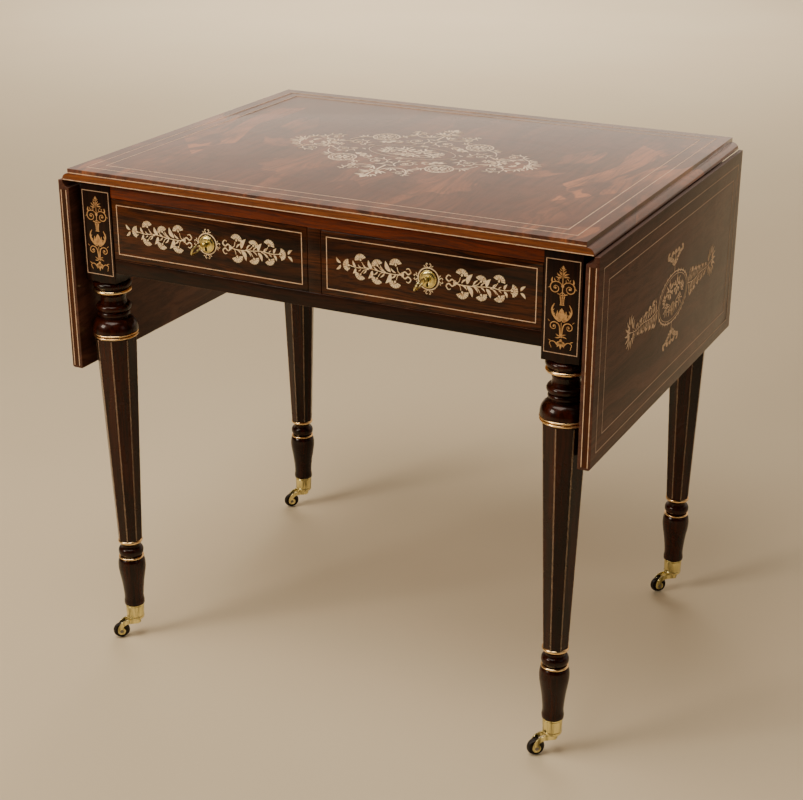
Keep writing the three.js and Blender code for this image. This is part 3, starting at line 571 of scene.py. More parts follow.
def wheel_recipe() -> Recipe:
    """Repeats a piece round an upright axis, each copy turned with its place."""
    recipe = Recipe("pieces round an axis", {"Piece": Object, "Count": int, "Radius": float, "Start": float})
    entry = recipe.entry
    circle = recipe.add(
        "GeometryNodeMeshCircle", {"Vertices": entry.outputs["Count"], "Radius": entry.outputs["Radius"]}
    )
    step = recipe.add("ShaderNodeMath", operation="DIVIDE")
    step.inputs[0].default_value = 2 * pi
    recipe.join(entry.outputs["Count"], step.inputs[1])
    index = recipe.add("GeometryNodeInputIndex")
    angle = recipe.add("ShaderNodeMath", operation="MULTIPLY")
    recipe.join(index.outputs["Index"], angle.inputs[0])
    recipe.join(step.outputs[0], angle.inputs[1])
    spin = recipe.add("ShaderNodeCombineXYZ", {"Z": angle.outputs[0]})
    source = recipe.add("GeometryNodeObjectInfo", {"Object": entry.outputs["Piece"]})
    placed = recipe.add(
        "GeometryNodeInstanceOnPoints",
        {
            "Points": circle.outputs["Mesh"], "Instance": source.outputs["Geometry"],
            "Rotation": spin.outputs["Vector"]
        }
    )
    start = recipe.add("ShaderNodeCombineXYZ", {"Z": entry.outputs["Start"]})
    whole = recipe.add(
        "GeometryNodeTransform",
        {"Geometry": placed.outputs["Instances"], "Rotation": start.outputs["Vector"]}
    )
    recipe.close(whole.outputs["Geometry"])
    return recipe


def string_recipe() -> Recipe:
    """Runs a square string round a rectangle, its corners mitred."""
    recipe = Recipe(
        "string round a rectangle", {"Width": float, "Height": float, "Line": float, "Depth": float}
    )
    entry = recipe.entry
    path = recipe.add(
        "GeometryNodeCurvePrimitiveQuadrilateral",
        {"Width": entry.outputs["Width"], "Height": entry.outputs["Height"]}
    )
    mitre = recipe.add("ShaderNodeMath", operation="MULTIPLY")
    recipe.join(entry.outputs["Line"], mitre.inputs[0])
    mitre.inputs[1].default_value = sqrt(2)
    section = recipe.add(
        "GeometryNodeCurvePrimitiveQuadrilateral",
        {"Width": mitre.outputs[0], "Height": entry.outputs["Depth"]}
    )
    solid = recipe.add(
        "GeometryNodeCurveToMesh", {"Curve": path.outputs["Curve"], "Profile Curve": section.outputs["Curve"]}
    )
    recipe.close(solid.outputs["Mesh"])
    return recipe


# ---- shader groups


class Shading(Nodes):
    """Adds the usual sums and textures to a shader tree."""

    def math(self, operation: str, first: object, second: object = 0.0) -> NodeSocket:
        """The result of one sum."""
        return self.add("ShaderNodeMath", {0: first, 1: second}, operation=operation).outputs[0]

    def span(
        self, value: object, low: float, high: float, start: float = 0.0, end: float = 1.0
    ) -> NodeSocket:
        """A value carried smoothly from one span to another."""
        inputs = {"Value": value, "From Min": low, "From Max": high, "To Min": start, "To Max": end}
        return self.add("ShaderNodeMapRange", inputs, interpolation_type="SMOOTHSTEP").outputs["Result"]

    def mix(self, share: object, first: object, second: object, blend: str = "MIX") -> NodeSocket:
        """Two colours mixed."""
        node = self.add("ShaderNodeMix", {0: share, 6: first, 7: second}, data_type="RGBA", blend_type=blend)
        return node.outputs[2]

    def stretched(self, vector: object, stretch: Sequence[float]) -> NodeSocket:
        """Coordinates multiplied along each axis."""
        node = self.add("ShaderNodeVectorMath", {0: vector, 1: tuple(stretch)}, operation="MULTIPLY")
        return node.outputs[0]

    def scaled(self, vector: object, scale: object) -> NodeSocket:
        """Coordinates multiplied by one value."""
        return self.add("ShaderNodeVectorMath", {0: vector, "Scale": scale}, operation="SCALE").outputs[0]

    def noise(
        self, vector: object, scale: float, detail: float = 3.0, rough: float = 0.5, warp: float = 0.0
    ) -> NodeSocket:
        """Soft noise from 0 to 1."""
        inputs = {"Vector": vector, "Scale": scale, "Detail": detail, "Roughness": rough, "Distortion": warp}
        return self.add("ShaderNodeTexNoise", inputs).outputs["Fac"]


def start_group(
    name: str, inputs: Mapping[str, str], outputs: Mapping[str, str]
) -> tuple[Shading, Node, Node]:
    """Starts a shader group.

    Args:
        name: The name of the group.
        inputs: Each input's name and socket kind.
        outputs: Each output's name and socket kind.

    Returns:
        The group's shading helper, its entry node and its exit node.
    """
    tree = bpy.data.node_groups.new(name, "ShaderNodeTree")
    for key, kind in inputs.items():
        tree.interface.new_socket(key, in_out="INPUT", socket_type=f"NodeSocket{kind}")
    for key, kind in outputs.items():
        tree.interface.new_socket(key, in_out="OUTPUT", socket_type=f"NodeSocket{kind}")
    shading = Shading(tree)
    return shading, tree.nodes.new("NodeGroupInput"), tree.nodes.new("NodeGroupOutput")


def figure_group() -> NodeTree:
    """Wood figure along X: broad light and dark, fine dark lines, open pores and a height."""
    shading, entry, leave = start_group(
        "wood figure", {"Vector": "Vector", "Warp": "Float", "Broad": "Float", "Fine": "Float"},
        {"Figure": "Float", "Lines": "Float", "Pores": "Float", "Height": "Float"}
    )
    place = entry.outputs["Vector"]
    wander = shading.noise(shading.stretched(place, (3.0, 7.0, 7.0)), 1.0, 2.0)
    push = shading.math("MULTIPLY", shading.math("SUBTRACT", wander, 0.5), entry.outputs["Warp"])
    shift = shading.add("ShaderNodeCombineXYZ", {"Y": push, "Z": push}).outputs[0]
    bent = shading.add("ShaderNodeVectorMath", {0: place, 1: shift}, operation="ADD").outputs[0]
    broad = shading.scaled(shading.stretched(bent, (0.7, 9.0, 9.0)), entry.outputs["Broad"])
    figure = shading.noise(broad, 1.0, 4.0, 0.55, 0.6)
    fine = shading.scaled(shading.stretched(bent, (0.05, 1.0, 1.0)), entry.outputs["Fine"])
    lines = shading.noise(fine, 1.0, 7.0, 0.68)
    pores = shading.noise(shading.stretched(place, (90.0, 1900.0, 1900.0)), 1.0, 1.0)
    outputs = {
        "Figure": shading.span(figure, 0.32, 0.68), "Lines": shading.span(lines, 0.40, 0.64),
        "Pores": shading.span(pores, 0.60, 0.72)
    }
    height = shading.math("SUBTRACT", shading.math("MULTIPLY", outputs["Lines"], 0.4), outputs["Pores"])
    shading.feed(leave, {**outputs, "Height": height})
    return shading.tree


def wear_group() -> NodeTree:
    """Where a surface is rubbed: its marked arrises in patches, and faint smears all over."""
    shading, entry, leave = start_group(
        "rubbed wear", {"Vector": "Vector", "Scale": "Float"}, {"Arris": "Float", "Smear": "Float"}
    )
    mark = shading.add("ShaderNodeAttribute", attribute_name="arris").outputs["Fac"]
    scaled = shading.scaled(entry.outputs["Vector"], entry.outputs["Scale"])
    patches = shading.span(shading.noise(scaled, 1.0, 4.0, 0.6), 0.38, 0.66)
    shading.join(shading.math("MULTIPLY", mark, patches), leave.inputs["Arris"])
    smear = shading.noise(shading.stretched(scaled, (0.25, 0.6, 0.4)), 1.0, 5.0, 0.7, 0.8)
    shading.join(shading.span(smear, 0.3, 0.75), leave.inputs["Smear"])
    return shading.tree


def patina_group() -> NodeTree:
    """Age on metal: blotches of tarnish, and fine marks from rubbing."""
    shading, entry, leave = start_group(
        "metal patina", {"Vector": "Vector", "Scale": "Float"}, {"Tarnish": "Float", "Marks": "Float"}
    )
    scaled = shading.scaled(entry.outputs["Vector"], entry.outputs["Scale"])
    blotch = shading.noise(scaled, 1.0, 5.0, 0.62, 0.3)
    marks = shading.noise(shading.stretched(scaled, (9.0, 9.0, 2.0)), 1.0, 6.0, 0.75)
    shading.join(shading.span(blotch, 0.42, 0.72), leave.inputs["Tarnish"])
    shading.join(marks, leave.inputs["Marks"])
    return shading.tree


# ---- finishes


@dataclass(frozen=True)
class ShaderGroups:
    """The shader groups that the finishes share."""

    figure: NodeTree
    wear: NodeTree
    patina: NodeTree


def start_material(name: str) -> tuple[Material, Shading, Node]:
    """An empty material with its main shader.

    Args:
        name: The name of the material.

    Returns:
        The material, its shading helper and its main shader node.
    """
    material = bpy.data.materials.new(name)
    material.use_nodes = True
    return material, Shading(material.node_tree), material.node_tree.nodes["Principled BSDF"]


@dataclass(frozen=True)
class Wood:
    """A wood and the polish on it, with its grain laid one way."""

    name: str
    dark: str
    middle: str
    light: str
    grain: Grain = Grain.ALONG_X
    light_share: float = 0.5
    line_share: float = 0.75
    warp: float = 0.05
    broad: float = 3.0
    fine: float = 300.0
    rough: float = 0.34
    coat: float = 0.42
    coat_rough: float = 0.07
    worn: str = "7a4a2c"
    matched: bool = False
    gleam: float = 0.12
    wear_scale: float = 38.0
    bump: float = 0.16
    relief: float = 0.0004

    def build(self, groups: ShaderGroups) -> Material:
        """Makes the material."""
        material, shading, shader = start_material(self.name)
        place = shading.add("ShaderNodeTexCoord").outputs["Object"]
        spot = place
        if self.matched:
            parts = shading.add("ShaderNodeSeparateXYZ", {0: place})
            folded = shading.math("ABSOLUTE", parts.outputs["X"])
            spot = shading.add(
                "ShaderNodeCombineXYZ", {"X": folded, "Y": parts.outputs["Y"], "Z": parts.outputs["Z"]}
            ).outputs[0]
        turn = tuple(radians(angle) for angle in self.grain.value)
        laid = shading.add("ShaderNodeMapping", {"Vector": spot, "Rotation": turn}).outputs[0]
        drawing = {"Vector": laid, "Warp": self.warp, "Broad": self.broad, "Fine": self.fine}
        figure = shading.add("ShaderNodeGroup", drawing, node_tree=groups.figure)
        wear = shading.add(
            "ShaderNodeGroup", {"Vector": place, "Scale": self.wear_scale}, node_tree=groups.wear
        )
        lit = figure.outputs["Figure"]
        if self.matched:
            ends = shading.span(folded, 0.13, 0.27)
            patch = shading.noise(shading.stretched(spot, (6.0, 4.0, 1.0)), 1.0, 4.0, 0.55, 1.0)
            flame = shading.math("MULTIPLY", ends, shading.span(patch, 0.43, 0.62))
            lit = shading.math("MAXIMUM", shading.math("MULTIPLY", lit, 0.5), flame)
            cells = shading.add(
                "ShaderNodeTexVoronoi", {"Vector": shading.stretched(spot, (9.0, 6.5, 1.0)), "Scale": 1.0}
            )
            facet = shading.add("ShaderNodeSeparateXYZ", {0: cells.outputs["Color"]}).outputs["X"]
            vein = shading.noise(shading.stretched(spot, (6.0, 3.2, 1.0)), 1.0, 2.0, 0.5, 1.8)
            shade = shading.math(
                "MAXIMUM", shading.math("MULTIPLY", shading.span(facet, 0.45, 0.6), 0.7),
                shading.span(vein, 0.53, 0.56, 0.0, 0.85)
            )
            lit = shading.math("MULTIPLY", lit, shading.math("SUBTRACT", 1.0, shade))
        share = shading.math("MULTIPLY", lit, self.light_share)
        tone = shading.mix(share, colour(self.middle), colour(self.light))
        lined = shading.mix(
            shading.math("MULTIPLY", figure.outputs["Lines"], self.line_share), tone, colour(self.dark)
        )
        pored = shading.mix(shading.math("MULTIPLY", figure.outputs["Pores"], 0.5), lined, colour(self.dark))
        rubbed = shading.mix(shading.math("MULTIPLY", wear.outputs["Arris"], 0.55), pored, colour(self.worn))
        rough = shading.span(wear.outputs["Smear"], 0.0, 1.0, self.rough, self.rough + 0.04)
        bump = shading.add(
            "ShaderNodeBump",
            {"Strength": self.bump, "Distance": self.relief, "Height": figure.outputs["Height"]}
        ).outputs[0]
        shading.feed(shader, {"Base Color": rubbed, "Roughness": rough, "Normal": bump})
        shading.feed(
            shader,
            {"Specular IOR Level": self.gleam, "Coat Weight": self.coat, "Coat Roughness": self.coat_rough}
        )
        return material


@dataclass(frozen=True)
class Inlay:
    """A pale wood let into the veneer under the same polish."""

    name: str
    pale: str
    shaded: str
    rough: float = 0.36
    coat: float = 0.4
    coat_rough: float = 0.08
    bump: float = 0.1
    relief: float = 0.0003

    def build(self, groups: ShaderGroups) -> Material:
        """Makes the material."""
        material, shading, shader = start_material(self.name)
        place = shading.add("ShaderNodeTexCoord").outputs["Object"]
        cloud = shading.noise(place, 190.0, 3.0, 0.6)
        drawing = {"Vector": place, "Warp": 0.02, "Broad": 20.0, "Fine": 900.0}
        figure = shading.add("ShaderNodeGroup", drawing, node_tree=groups.figure)
        scorched = shading.mix(
            shading.span(cloud, 0.45, 0.72, 0.0, 0.8), colour(self.pale), colour(self.shaded)
        )
        lined = shading.mix(
            shading.math("MULTIPLY", figure.outputs["Lines"], 0.25), scorched, colour(self.shaded)
        )
        rough = shading.span(cloud, 0.3, 0.7, self.rough, self.rough + 0.12)
        bump = shading.add(
            "ShaderNodeBump",
            {"Strength": self.bump, "Distance": self.relief, "Height": figure.outputs["Height"]}
        ).outputs[0]
        shading.feed(shader, {"Base Color": lined, "Roughness": rough, "Normal": bump})
        shading.feed(shader, {"Coat Weight": self.coat, "Coat Roughness": self.coat_rough})
        return material


@dataclass(frozen=True)
class Metal:
    """A metal with tarnish in blotches and fine marks of handling."""

    name: str
    bright: str
    dull: str
    rough: float = 0.2
    tarnish: float = 0.6
    scale: float = 90.0
    drag: tuple[float, float, float] = (1.0, 1.0, 1.0)
    bump: float = 0.12
    relief: float = 0.0002

    def build(self, groups: ShaderGroups) -> Material:
        """Makes the material."""
        material, shading, shader = start_material(self.name)
        place = shading.add("ShaderNodeTexCoord").outputs["Object"]
        patina = shading.add("ShaderNodeGroup", {"Scale": self.scale}, node_tree=groups.patina)
        shading.feed(patina, {"Vector": shading.stretched(place, self.drag)})
        dulled = shading.math("MULTIPLY", patina.outputs["Tarnish"], self.tarnish)
        tone = shading.mix(dulled, colour(self.bright), colour(self.dull))
        grime = shading.math("MULTIPLY", patina.outputs["Marks"], 0.16)
        rough = shading.math("ADD", shading.span(dulled, 0.0, 1.0, self.rough, self.rough + 0.3), grime)
        bump = shading.add(
            "ShaderNodeBump",
            {"Strength": self.bump, "Distance": self.relief, "Height": patina.outputs["Marks"]}
        ).outputs[0]
        shading.feed(shader, {"Base Color": tone, "Roughness": rough, "Normal": bump, "Metallic": 1.0})
        return material


class Finishes:
    """Every finish of the table, made once."""

    def __init__(self) -> None:
        """Makes the shader groups and the materials."""
        groups = ShaderGroups(figure_group(), wear_group(), patina_group())
        rosewood = {"dark": "050200", "middle": "1e0a02", "light": "5e2c0a"}
        self.top = Wood(
            "rosewood of the top", "160804", "54281a", "c0703a", Grain.ALONG_Y, 0.95, 0.55, 0.16, 2.2, 120.0,
            coat=1.0, gleam=0.5, matched=True
        ).build(groups)
        self.leaf = Wood(
            "rosewood of the leaves", "22120d", "3e251c", "74493a", Grain.ALONG_Y, 0.6, 0.5, 0.14, 1.6, 160.0,
            coat=0.24
        ).build(groups)
        self.frieze = Wood(
            "rosewood of the frieze", **rosewood, grain=Grain.ALONG_X, light_share=0.85, line_share=0.85,
            coat=0.25
        ).build(groups)
        # painted shade: the low rail gets a darker rosewood than the frieze, standing in for the shade that
        # lies on it
        self.low_rail_in_painted_shade = Wood("rosewood of the low rail, darkened as painted shade", "040100", "120400", "3a1402", coat=0.2).build(groups)
        self.rail = Wood(
            "rosewood of the rails", "140400", "481600", "842f02", Grain.ALONG_X, 0.7, 0.6, coat=0.25
        ).build(groups)
        self.apron = Wood("rosewood of the side aprons", **rosewood, grain=Grain.ALONG_Y).build(groups)
        self.leg = Wood(
            "rosewood of the legs", "040100", "160500", "4a1804", Grain.ALONG_Z, 0.6, 0.7, 0.04, 4.0, 220.0,
            rough=0.26, coat=0.3
        ).build(groups)
        self.block = Wood(
            "rosewood of the leg blocks", "030100", "0e0300", "301002", Grain.ALONG_Z, 0.6, 0.7, coat=0.15
        ).build(groups)
        self.band = Wood(
            "crossbanding", "2c1204", "70340c", "92501a", Grain.ALONG_X, 0.6, 0.5, 0.02, 8.0, 300.0
        ).build(groups)
        self.leaf_band = Wood(
            "leaf edge band", "140500", "3c1601", "5c2806", Grain.ALONG_Z, 0.6, 0.5, 0.02, 8.0, 300.0,
            coat=0.25
        ).build(groups)
        self.lining = Wood(
            "oak lining", "5a3a1e", "a87c4c", "c49a66", Grain.ALONG_Y, 0.6, 0.55, 0.02, 6.0, 260.0, 0.62, 0.0,
            worn="b08a5c"
        ).build(groups)
        self.lining_across = Wood(
            "oak lining laid across", "5a3a1e", "a87c4c", "c49a66", Grain.ALONG_X, 0.6, 0.55, 0.02, 6.0,
            260.0, 0.62, 0.0
        ).build(groups)
        self.wheel = Wood(
            "blackened wheel wood", "080706", "1a1512", "3a2c22", Grain.ALONG_X, 0.5, 0.5, 0.01, 40.0, 900.0,
            0.42, 0.25, 0.3, "4a3a2c"
        ).build(groups)
        self.string = Inlay("boxwood stringing", "ecc8a4", "bc8c60").build(groups)
        # painted shade: a dimmer copy of the stringing for the leaves and the leg panels, standing in for the
        # shade on those faces
        self.string_with_painted_shade = Inlay("boxwood stringing dimmed as painted shade", "ccaa8c", "9c7a5c").build(groups)
        self.boxwood = Inlay("boxwood marquetry", "fbe6bc", "c08a4c").build(groups)
        # painted shade: a dimmer copy of the boxwood for the leaves' wreath, standing in for the shade on the
        # leaf's outer face
        self.boxwood_with_painted_shade = Inlay("boxwood marquetry dimmed as painted shade", "f4d2aa", "b48c66").build(groups)
        # painted shade: a darker golden boxwood for the leg panels; its dimming stands in for the shade on
        # the legs' panels
        self.golden_boxwood_with_painted_shade = Inlay("golden boxwood marquetry, darkened as painted shade", "cf9c5c", "8a5a2c").build(groups)
        self.holly = Inlay("holly marquetry", "ffecd0", "e0b488").build(groups)
        self.gilt = Metal("gilt ring", "f6d29a", "c4945a", 0.14, 0.2, 60.0, bump=0.05).build(groups)
        self.key_brass = Metal("polished key brass", "ecdc96", "8c7a3a", 0.16, 0.5, 160.0).build(groups)
        self.caster_brass = Metal(
            "caster brass", "f2e4a0", "4e4420", 0.12, 0.8, 110.0, (1.6, 1.6, 0.22), 0.04
        ).build(groups)
        self.hinge_brass = Metal("hinge brass", "c09a54", "6e5226", 0.32, 0.7, 80.0).build(groups)
        self.steel = Metal("lock steel", "8c8880", "4c4640", 0.38, 0.6, 90.0).build(groups)


# ---- marquetry


def leaf_outline(length: float, width: float, bend: float = 0.12) -> Outline:
    """A pointed leaf that starts at the origin and bends a little as it runs along the first axis."""
    upper, lower = [], []
    steps = 6
    for i in range(steps + 1):
        t = i / steps
        spine = bend * length * sin(pi * t)
        half = width / 2 * sin(pi * t**0.8) ** 0.9 if 0 < i < steps else 0.0
        upper.append((length * t, spine + half))
        lower.append((length * t, spine - half))
    return upper + lower[-2:0:-1]


def turned_outline(outline: Sequence[Point], angle: float, move: Point = (0.0, 0.0)) -> Outline:
    """An outline turned about the origin in degrees and then moved."""
    c, s = cos(radians(angle)), sin(radians(angle))
    return [(u * c - v * s + move[0], u * s + v * c + move[1]) for u, v in outline]


def petal_outline(start: float, length: float, root: float, tip: float) -> Outline:
    """A petal that widens from its root and ends in two small teeth."""
    end = start + length
    return [
        (start, -root / 2), (end - tip * 0.3, -tip / 2), (end, -tip * 0.26), (end - tip * 0.4, 0.0),
        (end, tip * 0.26), (end - tip * 0.3, tip / 2), (start, root / 2)
    ]


BLOOM_MIDDLE = 4.6  # from the foot of a bloom to the middle of its petals
STROKE_STEP, STROKE_STEPS = 0.003, 17  # crossing strokes differ in height, so that they don't share a face
MOTIF_LIFT, MOTIF_STEP = 0.055, 0.006  # motifs stand above the strokes, each kind at its own height
STRING_DEPTH, STRING_PROUD = 0.7, 0.08  # a string's section, and how far it stands out of the wood


def motif_outlines(kind: Motif) -> list[Outline]:
    """The cut pieces of one motif, at its full size.

    Args:
        kind: The motif.

    Returns:
        One outline for each cut piece, in millimetres. The motif grows along the first axis.
    """
    if kind is Motif.LEAF:
        return [leaf_outline(10.0, 3.6)]
    if kind is Motif.BUD:
        return [
            leaf_outline(8.0, 4.4, 0.0), turned_outline(leaf_outline(5.0, 1.8), 38, (0.4, 0.5)),
            turned_outline(leaf_outline(5.0, 1.8, -0.12), -38, (0.4, -0.5))
        ]
    if kind is Motif.BLOOM:
        petals = [
            turned_outline(petal_outline(2.9, 6.2, 0.9, 2.9), angle, (1.6, 0.0))
            for angle in range(-72, 73, 24)
        ]
        return [*petals, leaf_outline(4.4, 2.8, 0.0)]
    if kind is Motif.ROSE:
        petals = [turned_outline(petal_outline(3.0, 6.2, 1.4, 5.0), angle) for angle in range(0, 360, 60)]
        return [*petals, arc((0.0, 0.0), 2.0, 0, 330, 11)]
    if kind is Motif.DOT:
        return [arc((0.0, 0.0), 1.0, 0, 330, 11)]
    if kind is Motif.TREFOIL:
        lobes = [arc((3.4 * cos(a), 3.4 * sin(a)), 2.5, 0, 330, 11) for a in (-1.25, 0.0, 1.25)]
        return [*lobes, leaf_outline(3.0, 1.6, 0.0)]
    if kind is Motif.SHELL:
        return [
            turned_outline(leaf_outline(9.0 - abs(angle) * 0.04, 2.6, 0.0), angle, (1.0, 0.0))
            for angle in range(-66, 67, 33)
        ]
    return [leaf_outline(10.0, 2.1)]


@dataclass
class Marquetry:
    """A drawing in cut wood on one face, gathered stroke by stroke and then laid."""

    name: str
    recipes: "Recipes"
    proud: float = 0.1
    sunk: float = 0.25
    strokes: list[tuple[Outline, list[float], bool]] = field(default_factory=list)
    sprigs: dict[Motif, list[tuple[float, float, float, float]]] = field(default_factory=dict)
    mirrors: tuple[tuple[int, int], ...] = ONE_PLACE

    def stem(
        self, points: Sequence[Point], start: float = 1.0, end: float = 0.6, smooth: bool = True,
        swell: float = 0.0
    ) -> None:
        """A tapering stem, with its widths at the two ends and what it swells by in between."""
        line = smooth_path(points) if smooth else list(points)
        shares = [i / (len(line) - 1) for i in range(len(line))]
        widths = [start + (end - start) * t + swell * sin(pi * t) for t in shares]
        for across, up in self.mirrors:
            self.strokes.append(([(u * across, v * up) for u, v in line], widths, False))

    def scroll(
        self, centre: Point, outer: float, inner: float, start: float, turn: float, width: float = 1.4
    ) -> None:
        """A scroll that thins as it winds in, with a dot at its eye."""
        line = spiral(centre, outer, inner, start, turn)
        self.stem(line, width, width * 0.5, smooth=False)
        self.sprig(Motif.DOT, *centre, 0.0, max(inner * 0.8, 0.9))

    def bloom(self, u: float, v: float, angle: float, size: float = 1.0) -> None:
        """A bloom whose petals stand round the given point."""
        back = BLOOM_MIDDLE * size
        turn = radians(angle)
        self.sprig(Motif.BLOOM, u - back * cos(turn), v - back * sin(turn), angle, size)

    def spray(
        self, centre: Point, angles: Iterable[float], reach: float, size: float, squash: float = 1.0
    ) -> None:
        """Leaves that stand out from a point at several angles."""
        for angle in angles:
            turn = radians(angle)
            place = (centre[0] + reach * cos(turn), centre[1] + squash * reach * sin(turn))
            self.sprig(Motif.SLIM, *place, angle, size)

    def leafy_scroll(
        self, centre: Point, outer: float, start: float, turn: float, width: float, leaf: float
    ) -> None:
        """A scroll with a rose at its eye and leaves along its outside."""
        self.stem(spiral(centre, outer, outer * 0.36, start, turn), width * 0.72, width * 0.45, smooth=False)
        self.sprig(Motif.ROSE, *centre, 0.0, outer * 0.03)
        way = 1 if turn > 0 else -1
        for i in range(6):
            angle = start + way * (18 + 40 * i)
            radius = outer * (1.0 - 0.07 * i)
            place = heading_point(radius, angle, centre)
            self.sprig(Motif.SLIM, *place, angle + way * 52, leaf * (1.0 - 0.06 * i))

    def ring(self, centre: Point, wide: float, high: float, width: float, steps: int = 48) -> None:
        """A closed oval line."""
        for across, up in self.mirrors:
            line = [
                (
                    centre[0] * across + wide * cos(2 * pi * i / steps),
                    centre[1] * up + high * sin(2 * pi * i / steps)
                )
                for i in range(steps)
            ]
            self.strokes.append((line, [width] * steps, True))

    def sprig(self, kind: Motif, u: float, v: float, angle: float, size: float = 1.0) -> None:
        """One motif at a place, turned in degrees, and at its mirrored places."""
        for across, up in self.mirrors:
            heading = radians(angle)
            mirrored = atan2(sin(heading) * up, cos(heading) * across)
            place = (u * across, v * up, mirrored, size)
            told = self.sprigs.setdefault(kind, [])
            if all(dist(place[:3], other[:3]) > 1e-3 for other in told):
                told.append(place)

    def lay(self, panel: Panel, body: str, material: Material) -> Object:
        """Lays the drawing on a face.

        Args:
            panel: The face.
            body: The body that the face belongs to.
            material: The wood of the cut pieces.

        Returns:
            The marquetry as one piece.
        """
        bm = bmesh.new()
        for number, (line, widths, closed) in enumerate(self.strokes):
            add_ribbon(
                bm, line, widths, -self.sunk, self.proud + STROKE_STEP * (number % STROKE_STEPS), closed
            )
        meshes = [as_mesh(self.name, bm, CUT_EDGE)]
        for order, (kind, places) in enumerate(sorted(self.sprigs.items(), key=lambda pair: pair[0].value)):
            meshes.append(
                self.recipes.scatter(
                    kind, places, material, self.sunk, self.proud + MOTIF_LIFT + MOTIF_STEP * order
                )
            )
        mesh = joined(self.name, meshes, CUT_EDGE)
        mesh.transform(panel.placing())
        return mount(self.name, mesh, material, body)


class Recipes:
    """The Geometry Nodes recipes, and the cut pieces that they repeat."""

    def __init__(self) -> None:
        """Builds the trees."""
        self.scattered = scatter_recipe()
        self.around = wheel_recipe()
        self.string = string_recipe()

    def template(self, name: str, outlines: Sequence[Outline], low: float, high: float) -> Object:
        """A hidden piece for a recipe to repeat."""
        bm = bmesh.new()
        for outline in outlines:
            add_prism(bm, outline, low, high)
        return bpy.data.objects.new(name, as_mesh(name, bm, CUT_EDGE))

    def scatter(
        self, kind: Motif, places: Sequence[tuple[float, float, float, float]], material: Material,
        sunk: float, proud: float
    ) -> Mesh:
        """Repeats a motif of the marquetry.

        Args:
            kind: The motif.
            places: Across, up, turn in radians and size for each copy.
            material: The wood that it is cut from.
            sunk: How deep it is let in, in millimetres.
            proud: How far it stands out, in millimetres.

        Returns:
            One mesh in the drawing's own plane.
        """
        template = self.template(kind.value, motif_outlines(kind), -sunk, proud)
        mesh = self.scatter_object(template, places, material)
        flat = [Vector((v.co.x, v.co.y, proud * MM if v.co.z > 0 else -sunk * MM)) for v in mesh.vertices]
        for vert, place in zip(mesh.vertices, flat):
            vert.co = place
        return mesh

    def scatter_object(
        self, template: Object, places: Sequence[tuple[float, float, float, float]], material: Material
    ) -> Mesh:
        """Repeats any piece at places in one plane, and removes the piece it was given."""
        base = bpy.data.meshes.new("places")
        base.from_pydata([(u * MM, v * MM, 0.0) for u, v, _, _ in places], [], [])
        for name, column in (("turn", 2), ("size", 3)):
            layer = base.attributes.new(name, "FLOAT", "POINT")
            layer.data.foreach_set("value", [place[column] for place in places])
        mesh = self.scattered.grow(base, Piece=template, Finish=material)
        discard(template)
        return mesh

    def string_frame(
        self, name: str, panel: Panel, width: float, height: float, material: Material, line: float = 1.1
    ) -> Mesh:
        """A string round a rectangle on a face, its size measured along the middle of the string."""
        mesh = self.string.grow(
            Width=width * MM, Height=height * MM, Line=line * MM, Depth=STRING_DEPTH * MM, Finish=material
        )
        bm = bmesh.new()
        bm.from_mesh(mesh)
        bpy.data.meshes.remove(mesh)
        bmesh.ops.translate(bm, verts=bm.verts, vec=Vector((0, 0, (STRING_PROUD - STRING_DEPTH / 2) * MM)))
        mesh = as_mesh(name, bm, CUT_EDGE)
        mesh.transform(panel.placing())
        return mesh


# ---- carried-over solids


def softened_copy(node: str, name: str, material: Material, width: float = 0.6) -> Object:
    """A copy of a solid with its long arrises rounded.

    Args:
        node: The solid.
        name: The name of the new piece.
        material: Its finish.
        width: The width of the rounding, in millimetres.

    Returns:
        The new piece, not yet on a body.
    """
    bm = welded(node)
    bmesh.ops.dissolve_limit(bm, angle_limit=FLAT, verts=bm.verts, edges=bm.edges)
    soften(bm, width, *ARRIS)
    return piece_of(name, as_mesh(name, bm, 35.0), material)


def welded(node: str) -> BMesh:
    """A solid's mesh, its loose triangles joined up."""
    bm = bmesh.new()
    bm.from_mesh(frame["nodes"][node].data)
    bmesh.ops.remove_doubles(bm, verts=bm.verts, dist=WELD)
    return bm


def redress(node: str, material: Material) -> None:
    """Gives a solid that is shown as it is its finish."""
    solid = frame["nodes"][node]
    solid.data.materials.clear()
    solid.data.materials.append(material)
    LOG.info("%s keeps its shape", node)


def carve(piece: Object, cutters: Sequence[Object], smooth_angle: float = 35.0) -> None:
    """Cuts other shapes out of a piece, and removes them."""
    for cutter in cutters:
        modifier = piece.modifiers.new("cut", "BOOLEAN")
        modifier.operation = "DIFFERENCE"
        modifier.solver = "EXACT"
        modifier.object = cutter
    graph = bpy.context.evaluated_depsgraph_get()
    mesh = bpy.data.meshes.new_from_object(
        piece.evaluated_get(graph), preserve_all_data_layers=True, depsgraph=graph
    )
    piece.modifiers.clear()
    piece.data = mesh
    mesh.set_sharp_from_angle(angle=radians(smooth_angle))
    for cutter in cutters:
        bpy.data.objects.remove(cutter)


def box_cutter(low: Vector, high: Vector) -> Object:
    """A block between two corners, in metres, for cutting."""
    bm = bmesh.new()
    bmesh.ops.create_cube(bm, size=1.0)
    size = high - low
    for vert in bm.verts:
        vert.co = Vector((vert.co.x * size.x, vert.co.y * size.y, vert.co.z * size.z)) + (low + high) / 2
    piece = bpy.data.objects.new("cutter", as_mesh("cutter", bm))
    bpy.context.scene.collection.objects.link(piece)
    return piece


